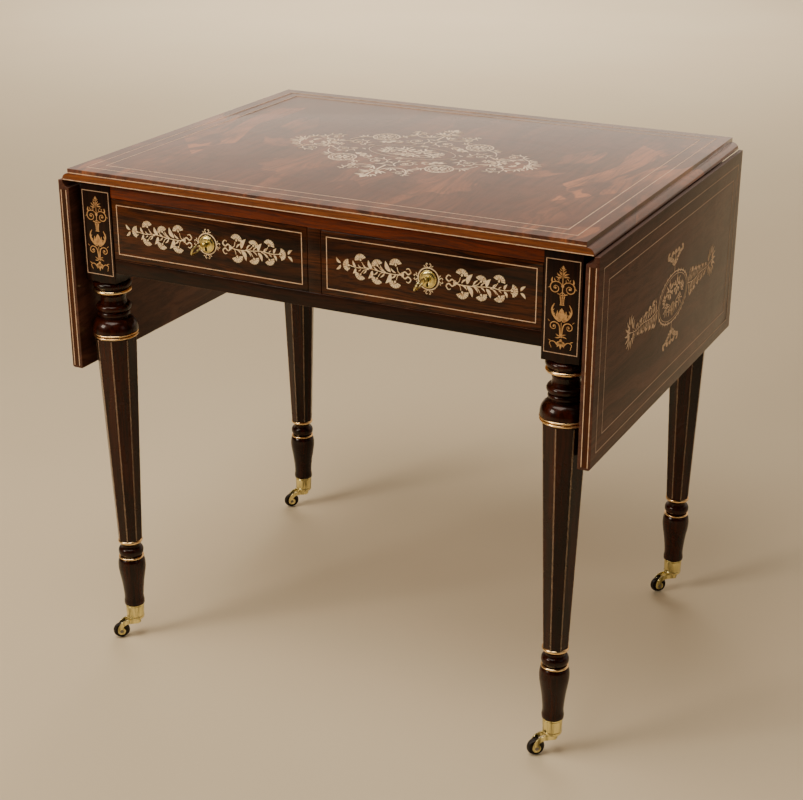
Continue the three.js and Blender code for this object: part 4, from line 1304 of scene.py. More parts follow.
def along_y(name: str, outline: Sequence[Point], front: float, back: float, width: float = 0.45) -> Mesh:
    """An outline in X and Z run along Y between two places in metres, its arrises softened."""
    bm = bmesh.new()
    near = [bm.verts.new(Vector((x * MM, front, z * MM))) for x, z in outline]
    far = [bm.verts.new(Vector((x * MM, back, z * MM))) for x, z in outline]
    bm.faces.new(near)
    bm.faces.new(far[::-1])
    for i in range(len(near)):
        j = (i + 1) % len(near)
        bm.faces.new([near[j], near[i], far[i], far[j]])
    bmesh.ops.recalc_face_normals(bm, faces=bm.faces)
    soften(bm, width, 45.0, 0.0)
    return as_mesh(name, bm, 35.0)


# ---- fixed top


def screw_head(radius: float = 3.6) -> Object:
    """A countersunk screw head with its slot, for a recipe to repeat."""
    slot = radius * 0.16
    bm = bmesh.new()
    for side in (1, -1):
        half = [(side * slot, -sqrt(radius**2 - slot**2))]
        half += [(side * radius * sin(a), -radius * cos(a)) for a in [0.35 + 0.3 * i for i in range(9)]]
        half += [(side * slot, sqrt(radius**2 - slot**2))]
        add_prism(bm, half if side > 0 else half[::-1], -0.2, 0.22)
    add_prism(bm, oblong(-slot * 0.98, slot * 0.98, -radius * 0.96, radius * 0.96), -0.2, -0.05)
    return bpy.data.objects.new("screw head", as_mesh("screw head", bm, CUT_EDGE))


@dataclass
class FixedTop:
    """The fixed top: rule-joint ovolos at its ends, double stringing, edge bands and the cartouche."""

    finishes: Finishes
    recipes: Recipes
    ovolo: float = 10.0
    ovolo_steps: int = 18
    string_insets: tuple[float, ...] = (19.0, 38.0)
    edge_string: float = 1.0
    edge_strings: tuple[float, ...] = (1.0, 11.3)
    pin_radius: float = 3.3
    pocket_gap: float = 0.3

    def build(self) -> None:
        """Makes the top and everything inlaid in it."""
        low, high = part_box("table_top")
        self.middle = (low + high) / 2
        self.half_width = high.x / MM - self.ovolo
        self.half_depth = (high.y - low.y) / 2 / MM
        self.board(low, high)
        face = Panel(Vector((0, self.middle.y, high.z - REVEAL * MM)), X_AXIS, Y_AXIS)
        frames = [
            self.recipes.string_frame(
                "s", face, 2 * (self.half_width - inset), 2 * (self.half_depth - inset), self.finishes.string
            )
            for inset in self.string_insets
        ]
        mount("table_top_stringing", joined("table_top_stringing", frames), self.finishes.string, "frame")
        self.edge_bands(low, high)
        self.cartouche(face)

    def board(self, low: Vector, high: Vector) -> None:
        """The board itself, with pockets for the hinges and the bracket pins."""
        under, top = low.z / MM, high.z / MM - REVEAL
        right = [
            (self.half_width + x, under + z) for x, z in arc((0, 0), self.ovolo, 90, 0, self.ovolo_steps)
        ]
        left = [(-x, z) for x, z in right[::-1]]
        outline = [(-self.half_width, top), (self.half_width, top), *right, *left]
        mesh = along_y("table_top_board", outline, low.y + REVEAL * MM, high.y - REVEAL * MM, 0.5)
        piece = piece_of("table_top_board", mesh, self.finishes.top)
        cutters = []
        for side in Side:
            for place in ("front", "back"):
                near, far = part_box(f"{side.word}_{place}_hinge_top_plate")
                gap = Vector((1, 1, 1)) * self.pocket_gap * MM
                cutters.append(box_cutter(near - gap, far + gap))
            pin_low, pin_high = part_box(f"{side.word}_leaf_bracket")
            x, y = (pin_low.x + pin_high.x) / 2, pin_high.y - (pin_high.x - pin_low.x) / 2
            reach = self.pin_radius * MM
            cutters.append(
                box_cutter(
                    Vector((x - reach, y - reach, low.z - reach)),
                    Vector((x + reach, y + reach, pin_high.z + self.pocket_gap * MM))
                )
            )
        carve(piece, cutters)
        hand_over(piece, "frame", "rosewood", "table_top")

    def edge_bands(self, low: Vector, high: Vector) -> None:
        """Strings and an orange-brown band along the front and back edges."""
        strings, bands = [], []
        under = low.z / MM
        for _, face in edge_faces(low, high):
            end = self.half_width - 0.6
            for middle in self.edge_strings:
                reach = end if middle > self.ovolo else end + self.ovolo - 0.8
                low_z, high_z = under + middle - self.edge_string / 2, under + middle + self.edge_string / 2
                strings.append(laid_prism(face, oblong(-reach, reach, low_z, high_z), 0.1))
            curve = arc((end, under), self.ovolo - 0.2, 80, 12, 10)
            bands.append(laid_prism(face, curve + [(-u, v) for u, v in curve[::-1]], 0.05))
        mount(
            "table_top_edge_strings", joined("table_top_edge_strings", strings), self.finishes.string, "frame"
        )
        mount("table_top_edge_bands", joined("table_top_edge_bands", bands), self.finishes.band, "frame")

    def cartouche(self, face: Panel) -> None:
        """The large pointed cartouche of scrolls, roundels and flowers in the middle of the top."""
        work = Marquetry("table_top_marquetry", self.recipes, mirrors=FOUR_PLACES)
        self.roundels(work)
        self.end_scrolls(work)
        self.side_palmettes(work)
        work.mirrors = TWO_PLACES
        self.bouquet(work)
        work.lay(face, "frame", self.finishes.holly)

    def roundels(self, work: Marquetry) -> None:
        """Four beaded roundels, each with a rose, and the lines that join them."""
        centre = (75.0, 67.0)
        work.ring(centre, 19.4, 19.4, 2.0)
        work.ring(centre, 14.2, 14.2, 1.3)
        work.sprig(Motif.ROSE, *centre, 30, 1.2)
        for i in range(16):
            work.sprig(Motif.DOT, *heading_point(16.8, i * 22.5, centre), 0, 1.05)
        work.sprig(Motif.TREFOIL, 60, 44, 232, 1.8)
        work.spray((60, 44), (140, 180, 286, 320), 6, 0.9)
        work.stem([(93, 58), (104, 52), (112, 42), (116, 30)], 1.9, 1.2)
        work.stem([(56, 72), (50, 78), (44, 74)], 1.9, 1.2)
        work.spray((100, 55), (70, 30, -8), 3, 1.1)
        work.spray((50, 76), (60, 95, 130), 2, 1.0)
        work.ring((0, 0), 66, 35, 0.8)

    def end_scrolls(self, work: Marquetry) -> None:
        """The scrolls, flowers and pointed sprigs at the two ends."""
        work.leafy_scroll((142, 38), 17, 250, 400, 2.4, 1.15)
        work.leafy_scroll((97, 22), 14, 200, -420, 2.0, 1.0)
        work.stem([(150, 22), (138, 14), (124, 16), (110, 24)], 2.2, 1.3)
        work.stem([(158, 34), (168, 26), (174, 12)], 2.0, 1.2)
        work.spray((126, 14), (150, 110, 30, 66), 2, 1.2)
        work.spray((168, 22), (80, 44, 8), 3, 1.2)
        work.spray((78, 8), (24, 60, 150), 3, 1.1)
        work.spray((176, 3), (14, 40, 66, 92), 6, 1.35)
        work.sprig(Motif.ROSE, 134, 0, 0, 1.35)
        work.sprig(Motif.ROSE, 116, 0, 30, 0.8)
        work.bloom(176, 0, 0, 1.15)
        work.bloom(158, 8, 30, 0.8)

    def side_palmettes(self, work: Marquetry) -> None:
        """The scrolled palmettes towards the front and back."""
        work.leafy_scroll((22, 64), 18, 110, 400, 2.3, 1.1)
        work.stem([(4, 106), (14, 92), (30, 90), (42, 102), (48, 124)], 2.4, 1.2)
        work.leafy_scroll((38, 112), 11, 60, -380, 1.9, 0.9)
        work.spray((14, 92), (40, 70, 100), 3, 1.35)
        work.spray((36, 94), (10, -24, 46), 3, 1.2)
        work.spray((36, 50), (-20, -50, 20), 3, 1.1)
        work.spray((2, 116), (34, 60, 10), 4, 1.5)
        work.spray((2, 132), (30, 58), 4, 1.3)
        work.stem([(0.5, 82), (0.5, 112), (0.5, 138)], 2.2, 1.4)
        work.bloom(21, 64, 90, 0.5)
        work.sprig(Motif.BUD, 0, 138, 90, 2.1)
        work.sprig(Motif.SHELL, 0, 108, 90, 1.5)
        work.sprig(Motif.SHELL, 0, 44, -90, 1.1)

    def bouquet(self, work: Marquetry) -> None:
        """The spray of roses and leaves inside the oval."""
        for u, v, size in ((13, 9, 1.5), (34, -5, 1.1), (3, -12, 0.9), (40, 8, 0.8)):
            work.sprig(Motif.ROSE, u, v, 20, size)
        work.spray((14, 8), (100, 60, 20, -24), 10, 1.2)
        work.spray((34, -4), (60, 20, -20, -64), 7, 1.1)
        work.spray((6, -10), (-30, -64, -96), 6, 1.2)
        work.stem([(0, -24), (8, -14), (20, -10), (30, -8)], 1.5, 1.0)
        work.stem([(2, -18), (20, -21), (34, -16), (46, -10)], 1.4, 0.9)


# ---- drop leaves


@dataclass
class DropLeaf:
    """One hanging leaf: cove, double stringing, flowered wreath, edge strings and hinge plates."""

    side: Side
    finishes: Finishes
    recipes: Recipes
    cove: float = 10.5
    joint_gap: float = 0.5
    thickness: float = 17.0
    foot_round: float = 3.0
    steps: int = 18
    string_insets: tuple[float, ...] = (18.0, 37.0)

    def build(self) -> None:
        """Makes the leaf and everything on it."""
        node = f"{self.side.word}_leaf"
        low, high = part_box(node)
        sign = self.side.sign
        body = f"{node}_body"
        line_x = (low.x if sign > 0 else high.x) / MM
        line_z = high.z / MM + self.joint_gap
        lip = degrees(asin(self.joint_gap / self.cove))
        foot = low.z / MM - line_z
        inner_round = 1.0
        outer = self.thickness - REVEAL
        outline = [
            *arc((0, 0), self.cove, -90, -lip, self.steps), (outer, -self.joint_gap),
            *arc((outer - self.foot_round, foot + self.foot_round), self.foot_round, 0, -90, 8),
            *arc((inner_round, foot + inner_round), inner_round, -90, -180, 4)
        ]
        placed = [(line_x + sign * x, line_z + z) for x, z in outline]
        mesh = along_y(f"{node}_board", placed, low.y + REVEAL * MM, high.y - REVEAL * MM, 0.4)
        mount(f"{node}_board", mesh, self.finishes.leaf, body, "rosewood", node)
        outer_x = (high.x if sign > 0 else low.x) - sign * REVEAL * MM
        middle = Vector((outer_x, (low.y + high.y) / 2, (low.z + high.z) / 2))
        face = Panel(middle, Vector((0, sign, 0)), Z_AXIS)
        depth, drop = (high.y - low.y) / MM, (high.z - low.z) / MM
        # the leaf's strings take the stringing dimmed as painted shade
        frames = [
            self.recipes.string_frame(
                "s", face, depth - 2 * inset, drop - 2 * inset, self.finishes.string_with_painted_shade, 1.0
            )
            for inset in self.string_insets
        ]
        name = f"{node}_stringing"
        mount(name, joined(name, frames), self.finishes.string_with_painted_shade, body)
        self.edge_strings(node, body, low, high)
        self.wreath(node, body, face)
        self.hinges(body)

    def edge_strings(self, node: str, body: str, low: Vector, high: Vector) -> None:
        """Two strings down the front and back edges, with a red-brown band between them."""
        strings, bands = [], []
        top, bottom = high.z / MM - self.cove - 3, low.z / MM + self.foot_round + 0.5
        middle = (low.x + high.x) / 2 / MM
        for out, face in edge_faces(low, high):
            for inner, outer, proud, home in (
                (-4.1, -3.1, 0.1, strings), (-2.9, 3.9, 0.05, bands), (4.1, 5.1, 0.1, strings)
            ):
                near, far = sorted(-out * (middle + self.side.sign * place) for place in (inner, outer))
                home.append(laid_prism(face, oblong(near, far, bottom, top), proud))
        mount(f"{node}_edge_strings", joined("e", strings), self.finishes.string, body)
        mount(f"{node}_edge_bands", joined("e", bands), self.finishes.leaf_band, body)

    def wreath(self, node: str, body: str, face: Panel) -> None:
        """An oval ring round a bouquet, with flower branches to both sides and sprigs above and below."""
        work = Marquetry(f"{node}_marquetry", self.recipes, mirrors=TWO_PLACES)
        self.side_branch(work)
        self.sprigs(work)
        self.ring_leaves(work)
        self.bouquet(work)
        # the wreath is cut from the boxwood dimmed as painted shade
        work.lay(face, body, self.finishes.boxwood_with_painted_shade)

    def side_branch(self, work: Marquetry) -> None:
        """A branch of slender leaves that thins out towards a fan of leaves round a bloom."""
        work.stem([(64, 1), (90, -2), (120, 1), (150, 0), (172, 4)], 1.3, 0.9)
        count = 15
        for i in range(count):
            share = i / (count - 1)
            spread = 20 * (1 - share) ** 0.8 + 6
            u = 67 + 6.4 * i
            for up in (1, -1):
                work.sprig(Motif.SLIM, u, up, up * (74 - 14 * share), spread * 0.052)
                work.sprig(Motif.SLIM, u + 2.4, up * spread * 0.5, up * (58 - 30 * (i % 2)), spread * 0.036)
        for u, v, size in ((80, 16, 0.5), (95, 13, 0.44), (111, 10, 0.4), (128, 8, 0.34), (142, 6, 0.3)):
            for up in (1, -1):
                work.bloom(u + 2 * up, v * up, 62 * up, size + 0.16)
        work.spray((170, 4), range(-125, 126, 25), 7, 1.3, 1.5)
        work.spray((158, 3), (70, 100, -70, -100), 3, 1.2)
        work.bloom(175, 4, 0, 1.1)

    def sprigs(self, work: Marquetry) -> None:
        """The sprigs above and below the ring."""
        for up in (1, -1):
            work.stem([(0.3, 36 * up), (0.3, 46 * up), (7, 54 * up), (18, 60 * up), (28, 62 * up)], 1.1, 0.7)
            work.stem([(0.3, 44 * up), (0.3, 62 * up)], 0.9, 0.6, smooth=False)
            for i in range(6):
                place = (2 + 4.6 * i, (46 + 13 * sin(0.26 * i)) * up)
                work.sprig(Motif.LEAF, *place, up * (96 - 8 * i), 0.85 - 0.05 * i)
                work.sprig(Motif.LEAF, *place, up * (22 - 12 * (i % 2)), 0.62)
            work.bloom(13, 63 * up, 74 * up, 0.72)
            work.bloom(0, 63 * up, 90 * up, 0.78)
            work.bloom(29, 64 * up, 40 * up, 0.66)

    def ring_leaves(self, work: Marquetry) -> None:
        """The oval ring of two lines, with leaves lying along it at its four quarters."""
        for angle in range(24, 73, 12):
            for up in (1, -1):
                turn = radians(angle)
                place = (61 * cos(turn), 35 * sin(turn) * up)
                work.sprig(Motif.SLIM, *place, up * (angle + 112), 0.75)
                work.sprig(Motif.SLIM, *place, up * (angle + 60), 0.5)
        centred = work.mirrors
        work.mirrors = ONE_PLACE
        work.ring((0, 0), 61, 35, 1.4)
        work.ring((0, 0), 56, 31, 0.7)
        work.mirrors = centred

    def bouquet(self, work: Marquetry) -> None:
        """The roses and leaves inside the ring."""
        for u, v, size in ((14, 12, 1.35), (38, 6, 0.75), (28, -7, 0.75), (0, -13, 0.8), (14, -14, 0.5)):
            work.sprig(Motif.ROSE, u, v, 20, size)
        work.spray((14, 12), (150, 84, 40, -6), 9, 1.0, 0.8)
        work.spray((30, 2), (100, 60, -20, 10), 5, 1.0)
        work.spray((10, -10), (-20, -60, -110, 20), 5, 1.0)
        work.spray((28, -8), (-60, -20, -100), 5, 0.85)
        work.stem([(0, -26), (6, -14), (16, -6), (28, -2)], 0.9, 0.6)

    def hinges(self, body: str) -> None:
        """Dresses the hinge plates and sets screw heads in the leaf plates."""
        for place in ("front", "back"):
            redress(f"{self.side.word}_{place}_hinge_top_plate", self.finishes.hinge_brass)
            plate = f"{self.side.word}_{place}_hinge_leaf_plate"
            redress(plate, self.finishes.hinge_brass)
            low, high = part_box(plate)
            inner_x = low.x if self.side.sign > 0 else high.x
            middle = Vector((inner_x, (low.y + high.y) / 2, low.z))
            face = Panel(middle, Vector((0, -self.side.sign, 0)), Z_AXIS)
            places = [(-10.0, 14.0, 0.4, 1.0), (10.0, 14.0, 1.2, 1.0), (0.0, 34.0, 0.8, 1.0)]
            mesh = self.recipes.scatter_object(screw_head(), places, self.finishes.steel)
            mesh.transform(face.placing())
            mount(f"{plate}_screws", joined(plate, [mesh], CUT_EDGE), self.finishes.steel, body, "steel")


# ---- legs


@dataclass
class Leg:
    """One leg: square block, turned collar, faceted shaft and turned foot, with rings and strings."""

    corner: Corner
    finishes: Finishes
    recipes: Recipes
    block_height: float = 144.0
    block_half: float = 25.0
    panel_size: tuple[float, float] = (43.5, 119.0)
    panel_drop: float = 1.4
    collar_height: float = 87.0
    facets: int = 8
    shaft_top_radius: float = 30.0
    shaft_foot_radius: float = 18.0
    shaft_foot: float = 168.5
    string: float = 1.3
    spigot_radius: float = 12.4
    foot_flare: float = 15.2

    def build(self) -> None:
        """Makes the leg."""
        self.node = f"{self.corner.word}_leg"
        low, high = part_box(self.node)
        cup_low, cup_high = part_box(f"{self.corner.word}_caster_cup")
        axis = (cup_low + cup_high) / 2
        self.axis = Vector((axis.x, axis.y, 0))
        self.bottom = low.z / MM
        self.cup_top = cup_high.z / MM
        self.block_bottom = high.z / MM - self.block_height
        self.shaft_top = self.block_bottom - self.collar_height
        self.block()
        self.turning()
        self.shaft()
        self.rings()
        if self.corner.along < 0:
            self.panel(high)

    def block(self) -> None:
        """The square block, cut off the solid so that it keeps its mortises."""
        bm = welded(self.node)
        level = Vector((0, 0, (self.block_bottom + 0.02) * MM))
        geometry = bm.verts[:] + bm.edges[:] + bm.faces[:]
        bmesh.ops.bisect_plane(bm, geom=geometry, plane_co=level, plane_no=Z_AXIS, clear_inner=True)
        bmesh.ops.dissolve_limit(bm, angle_limit=FLAT, verts=bm.verts, edges=bm.edges)
        rim = [edge for edge in bm.edges if edge.is_boundary]
        bmesh.ops.contextual_create(bm, geom=rim)
        bmesh.ops.recalc_face_normals(bm, faces=bm.faces)
        soften(bm, 0.7, *ARRIS)
        name = f"{self.node}_block"
        mount(name, as_mesh(name, bm, 35.0), self.finishes.block, "frame", "rosewood", self.node)

    def turning(self) -> None:
        """The collar under the block, and the foot under the shaft, as smooth turned work."""
        top = self.block_bottom
        collar = [
            (0, top + 0.5), (22.5, top + 0.5), (22.5, top - 2.4), *bead(top - 3, top - 12, 23.2, 27.4),
            (23.2, top - 13.2), (23.2, top - 19.8),
            *smooth_path([(22.6, top - 20), (19.2, top - 24.5), (17.8, top - 30.5), (19.2, top - 36.4)], 5),
            *bead(top - 36.8, top - 47, 20.4, 24.8), *bead(top - 47.4, top - 55.6, 19.8, 22.8),
            (19.4, top - 56.4), *sweep((19.7, top - 57.5), (32.2, top - 76), False), (32.2, top - 77),
            (30.0, top - 77.4), (30.0, top - 85.4), (28.4, self.shaft_top), (0, self.shaft_top)
        ]
        foot = self.shaft_foot
        lower = [
            (0, foot + 0.5), (15.8, foot + 0.5), (15.8, foot - 5.8),
            *smooth_path([(15.2, foot - 6), (13.3, foot - 9.5), (13.8, foot - 12.6)], 4),
            *bead(foot - 13, foot - 27.2, 14.0, 18.8), (16.4, foot - 27.6), (16.4, foot - 31.6),
            *smooth_path(
                [
                    (17.8, foot - 31.8), (19.7, foot - 36), (20.5, foot - 45), (19.5, foot - 56),
                    (16.6, foot - 74), (14.9, foot - 90), (14.5, self.cup_top + 11),
                    (15.3, self.cup_top + 4.5), (self.foot_flare, self.cup_top + 2)
                ],
                6
            ),
            (self.foot_flare, self.cup_top + 0.3), (self.spigot_radius, self.cup_top + 0.3),
            (self.spigot_radius, self.bottom), (0, self.bottom)
        ]
        for part, profile in (("collar", collar), ("foot", lower)):
            name = f"{self.node}_{part}"
            mesh = turned(name, profile[::-1], self.axis)
            mount(name, mesh, self.finishes.leg, "frame")

    def shaft(self) -> None:
        """The tapering shaft with a pale string let into every arris."""
        turn = radians(self.corner.facet_turn)
        bm = bmesh.new()
        rings = []
        for radius, z in ((self.shaft_foot_radius, self.shaft_foot), (self.shaft_top_radius, self.shaft_top)):
            angles = [turn + pi / 2 + 2 * pi * i / self.facets for i in range(self.facets)]
            rings.append(
                [bm.verts.new(self.axis + Vector((radius * cos(a), radius * sin(a), z)) * MM) for a in angles]
            )
        close_slab(bm, *rings)
        name = f"{self.node}_shaft"
        mount(name, as_mesh(name, bm, 20.0), self.finishes.leg, "frame")
        self.shaft_strings(turn)

    def shaft_strings(self, turn: float) -> None:
        """One string is drawn along an arris, and a recipe repeats it round the shaft."""
        depth = self.string / 2 / tan(pi / 2 - pi / self.facets)
        bm = bmesh.new()
        rows = []
        for radius, z in (
            (self.shaft_foot_radius, self.shaft_foot + 0.2), (self.shaft_top_radius, self.shaft_top - 0.2)
        ):
            outer, inner = radius - depth + 0.1, radius - depth - 0.8
            corners = oblong(inner, outer, -self.string / 2, self.string / 2)
            rows.append([bm.verts.new(Vector((x, y, z)) * MM) for x, y in corners])
        close_slab(bm, *rows)
        strip = bpy.data.objects.new("string", as_mesh("string", bm, 20.0))
        mesh = self.recipes.around.grow(
            Piece=strip, Count=self.facets, Radius=0.0, Start=turn + pi / 2, Finish=self.finishes.string
        )
        bpy.data.objects.remove(strip)
        mesh.transform(Matrix.Translation(self.axis))
        name = f"{self.node}_strings"
        mount(name, joined(name, [mesh], 20.0), self.finishes.string, "frame")

    def rings(self) -> None:
        """The gilt rings: three on the collar and two at the foot."""
        top, foot = self.block_bottom, self.shaft_foot
        places = (
            (top - 16.5, 22.8, 27.2, 5.8), (top - 78.9, 29.8, 32.8, 3.2), (top - 83.3, 29.8, 32.4, 3.2),
            (foot - 3.0, 15.4, 18.4, 5.2), (foot - 29.6, 16.0, 19.0, 3.8)
        )
        meshes = []
        for centre, root, crest, thick in places:
            half = thick / 2
            loop = [
                (root, centre - half), *bead(centre - half, centre + half, root + 0.5, crest, 10),
                (root, centre + half), (root, centre - half)
            ]
            meshes.append(turned("ring", loop, self.axis))
        name = f"{self.node}_gilt_rings"
        mount(name, joined(name, meshes), self.finishes.gilt, "frame", "brass")

    def panel(self, high: Vector) -> None:
        """The tall panel on the front of the block: a string rectangle round an upright arabesque."""
        half = self.block_half * MM
        low_x, high_x = self.axis.x - half, self.axis.x + half
        front = self.axis.y - half
        middle = Vector(
            ((low_x + high_x) / 2, front, high.z - self.block_height / 2 * MM - self.panel_drop * MM)
        )
        face = Panel(middle, X_AXIS, Z_AXIS)
        # the panel string takes the stringing dimmed as painted shade
        mesh = self.recipes.string_frame("s", face, *self.panel_size, self.finishes.string_with_painted_shade, 1.0)
        name = f"{self.node}_panel_string"
        mount(name, joined(name, [mesh]), self.finishes.string_with_painted_shade, "frame")
        work = Marquetry(f"{self.node}_marquetry", self.recipes, mirrors=TWO_PLACES)
        self.lower_arabesque(work)
        self.upper_arabesque(work)
        # the arabesque is cut from the boxwood darkened as painted shade
        work.lay(face, "frame", self.finishes.golden_boxwood_with_painted_shade)

    def lower_arabesque(self, work: Marquetry) -> None:
        """The shell, the lower scrolls, the tall leaves and the bud between them."""
        work.sprig(Motif.SHELL, 0, -43, -90, 1.15)
        work.sprig(Motif.DOT, 0, -42.4, 0, 1.7)
        work.stem([(4.5, -49), (7.6, -45.4), (11.4, -44.6), (14.4, -47), (13.2, -50.6)], 1.3, 0.7)
        work.scroll((9.8, -25.2), 6.4, 1.5, 140, -430, 1.25)
        work.stem([(1.0, -39), (1.5, -31), (2.6, -24), (5.2, -20.4)], 1.5, 1.2)
        work.stem([(0, -37), (0, -28), (0, -19.5)], 0.7, 0.7)
        work.stem([(3, -18.6), (7.4, -15), (11.4, -9), (12.6, -2.5), (9.6, 4)], 0.9, 0.5, swell=2.1)
        work.stem([(0.8, -17.6), (3.6, -14.4), (5.4, -9.4), (5.6, -4.6)], 0.9, 0.4, swell=1.5)
        work.stem([(1.2, -18.4), (5.0, -17.0), (7.8, -13.0)], 0.8, 0.4, swell=0.8)
        for u, v, angle, size in (
            (1, -38, -12, 0.6), (1, -37, 24, 0.55), (12.2, -44.4, 24, 0.4), (13.6, -50, 250, 0.36),
            (10.4, -12, 118, 0.42), (12, -7, 124, 0.42), (14.4, -19.6, 40, 0.36)
        ):
            work.sprig(Motif.SLIM, u, v, angle, size * 1.15)
        work.sprig(Motif.BUD, 0, -17.4, 90, 2.05)

    def upper_arabesque(self, work: Marquetry) -> None:
        """The fluted urn, the pair of scrolls and the sprig at the top."""
        work.stem([(0, 3.6), (0, 13.8)], 1.1, 1.5, smooth=False)
        work.stem([(1.9, 3.6), (1.8, 8), (2.7, 13.8)], 1.1, 1.5)
        work.stem([(0, 2.9), (2.9, 2.9)], 0.9, 0.9, smooth=False)
        work.stem([(0, 14.9), (2.4, 15.0), (4.4, 15.7)], 1.2, 0.8)
        work.stem([(0, 16), (0, 26), (0, 37)], 1.0, 0.8)
        work.sprig(Motif.DOT, 0, 26.6, 0, 1.9)
        work.scroll((9.2, 23.6), 7.8, 1.7, 58, -450, 1.35)
        work.stem([(0.6, 27.5), (3.6, 30.6), (8, 31.8), (12.6, 30.6)], 0.9, 1.2)
        work.stem([(6.4, 16.6), (3.2, 16.4), (0.8, 18.6)], 1.1, 0.7)
        work.stem([(12, 30.2), (14.2, 32), (13.4, 36.4)], 0.9, 0.4, swell=1.3)
        for u, v, angle, size in (
            (9, 31.6, 70, 0.42), (5, 31, 100, 0.4), (1, 37.4, 4, 0.72), (1, 38.6, 30, 0.72),
            (0.8, 40.2, 58, 0.6), (5, 37, -52, 0.36), (0.6, 45.4, 42, 0.4), (0.4, 43, 20, 0.36),
            (15.6, 25, -30, 0.34)
        ):
            work.sprig(Motif.SLIM, u, v, angle, size * 1.15)
        work.stem([(0, 37), (0, 48)], 0.8, 0.6, smooth=False)
        work.sprig(Motif.BUD, 0, 47.6, 90, 0.62)


# ---- frieze


@dataclass
class Frieze:
    """The rails, divider, aprons, brackets and runners between the legs."""

    finishes: Finishes

    def build(self) -> None:
        """Softens the visible rails and dresses the rest."""
        # the low rail takes the rosewood darkened as painted shade
        looks = {
            "front_top_rail": self.finishes.rail, "front_bottom_rail": self.finishes.low_rail_in_painted_shade,
            "drawer_divider": self.finishes.frieze, "back_apron": self.finishes.frieze,
            "left_apron": self.finishes.apron, "right_apron": self.finishes.apron,
            "left_leaf_bracket": self.finishes.lining, "right_leaf_bracket": self.finishes.lining,
            "left_drawer_runner": self.finishes.lining, "middle_drawer_runner": self.finishes.lining,
            "right_drawer_runner": self.finishes.lining
        }
        for node, look in looks.items():
            slot = "lining_wood" if look is self.finishes.lining else "rosewood"
            hand_over(softened_copy(node, f"{node}_shaped", look), "frame", slot, node)


# ---- drawers


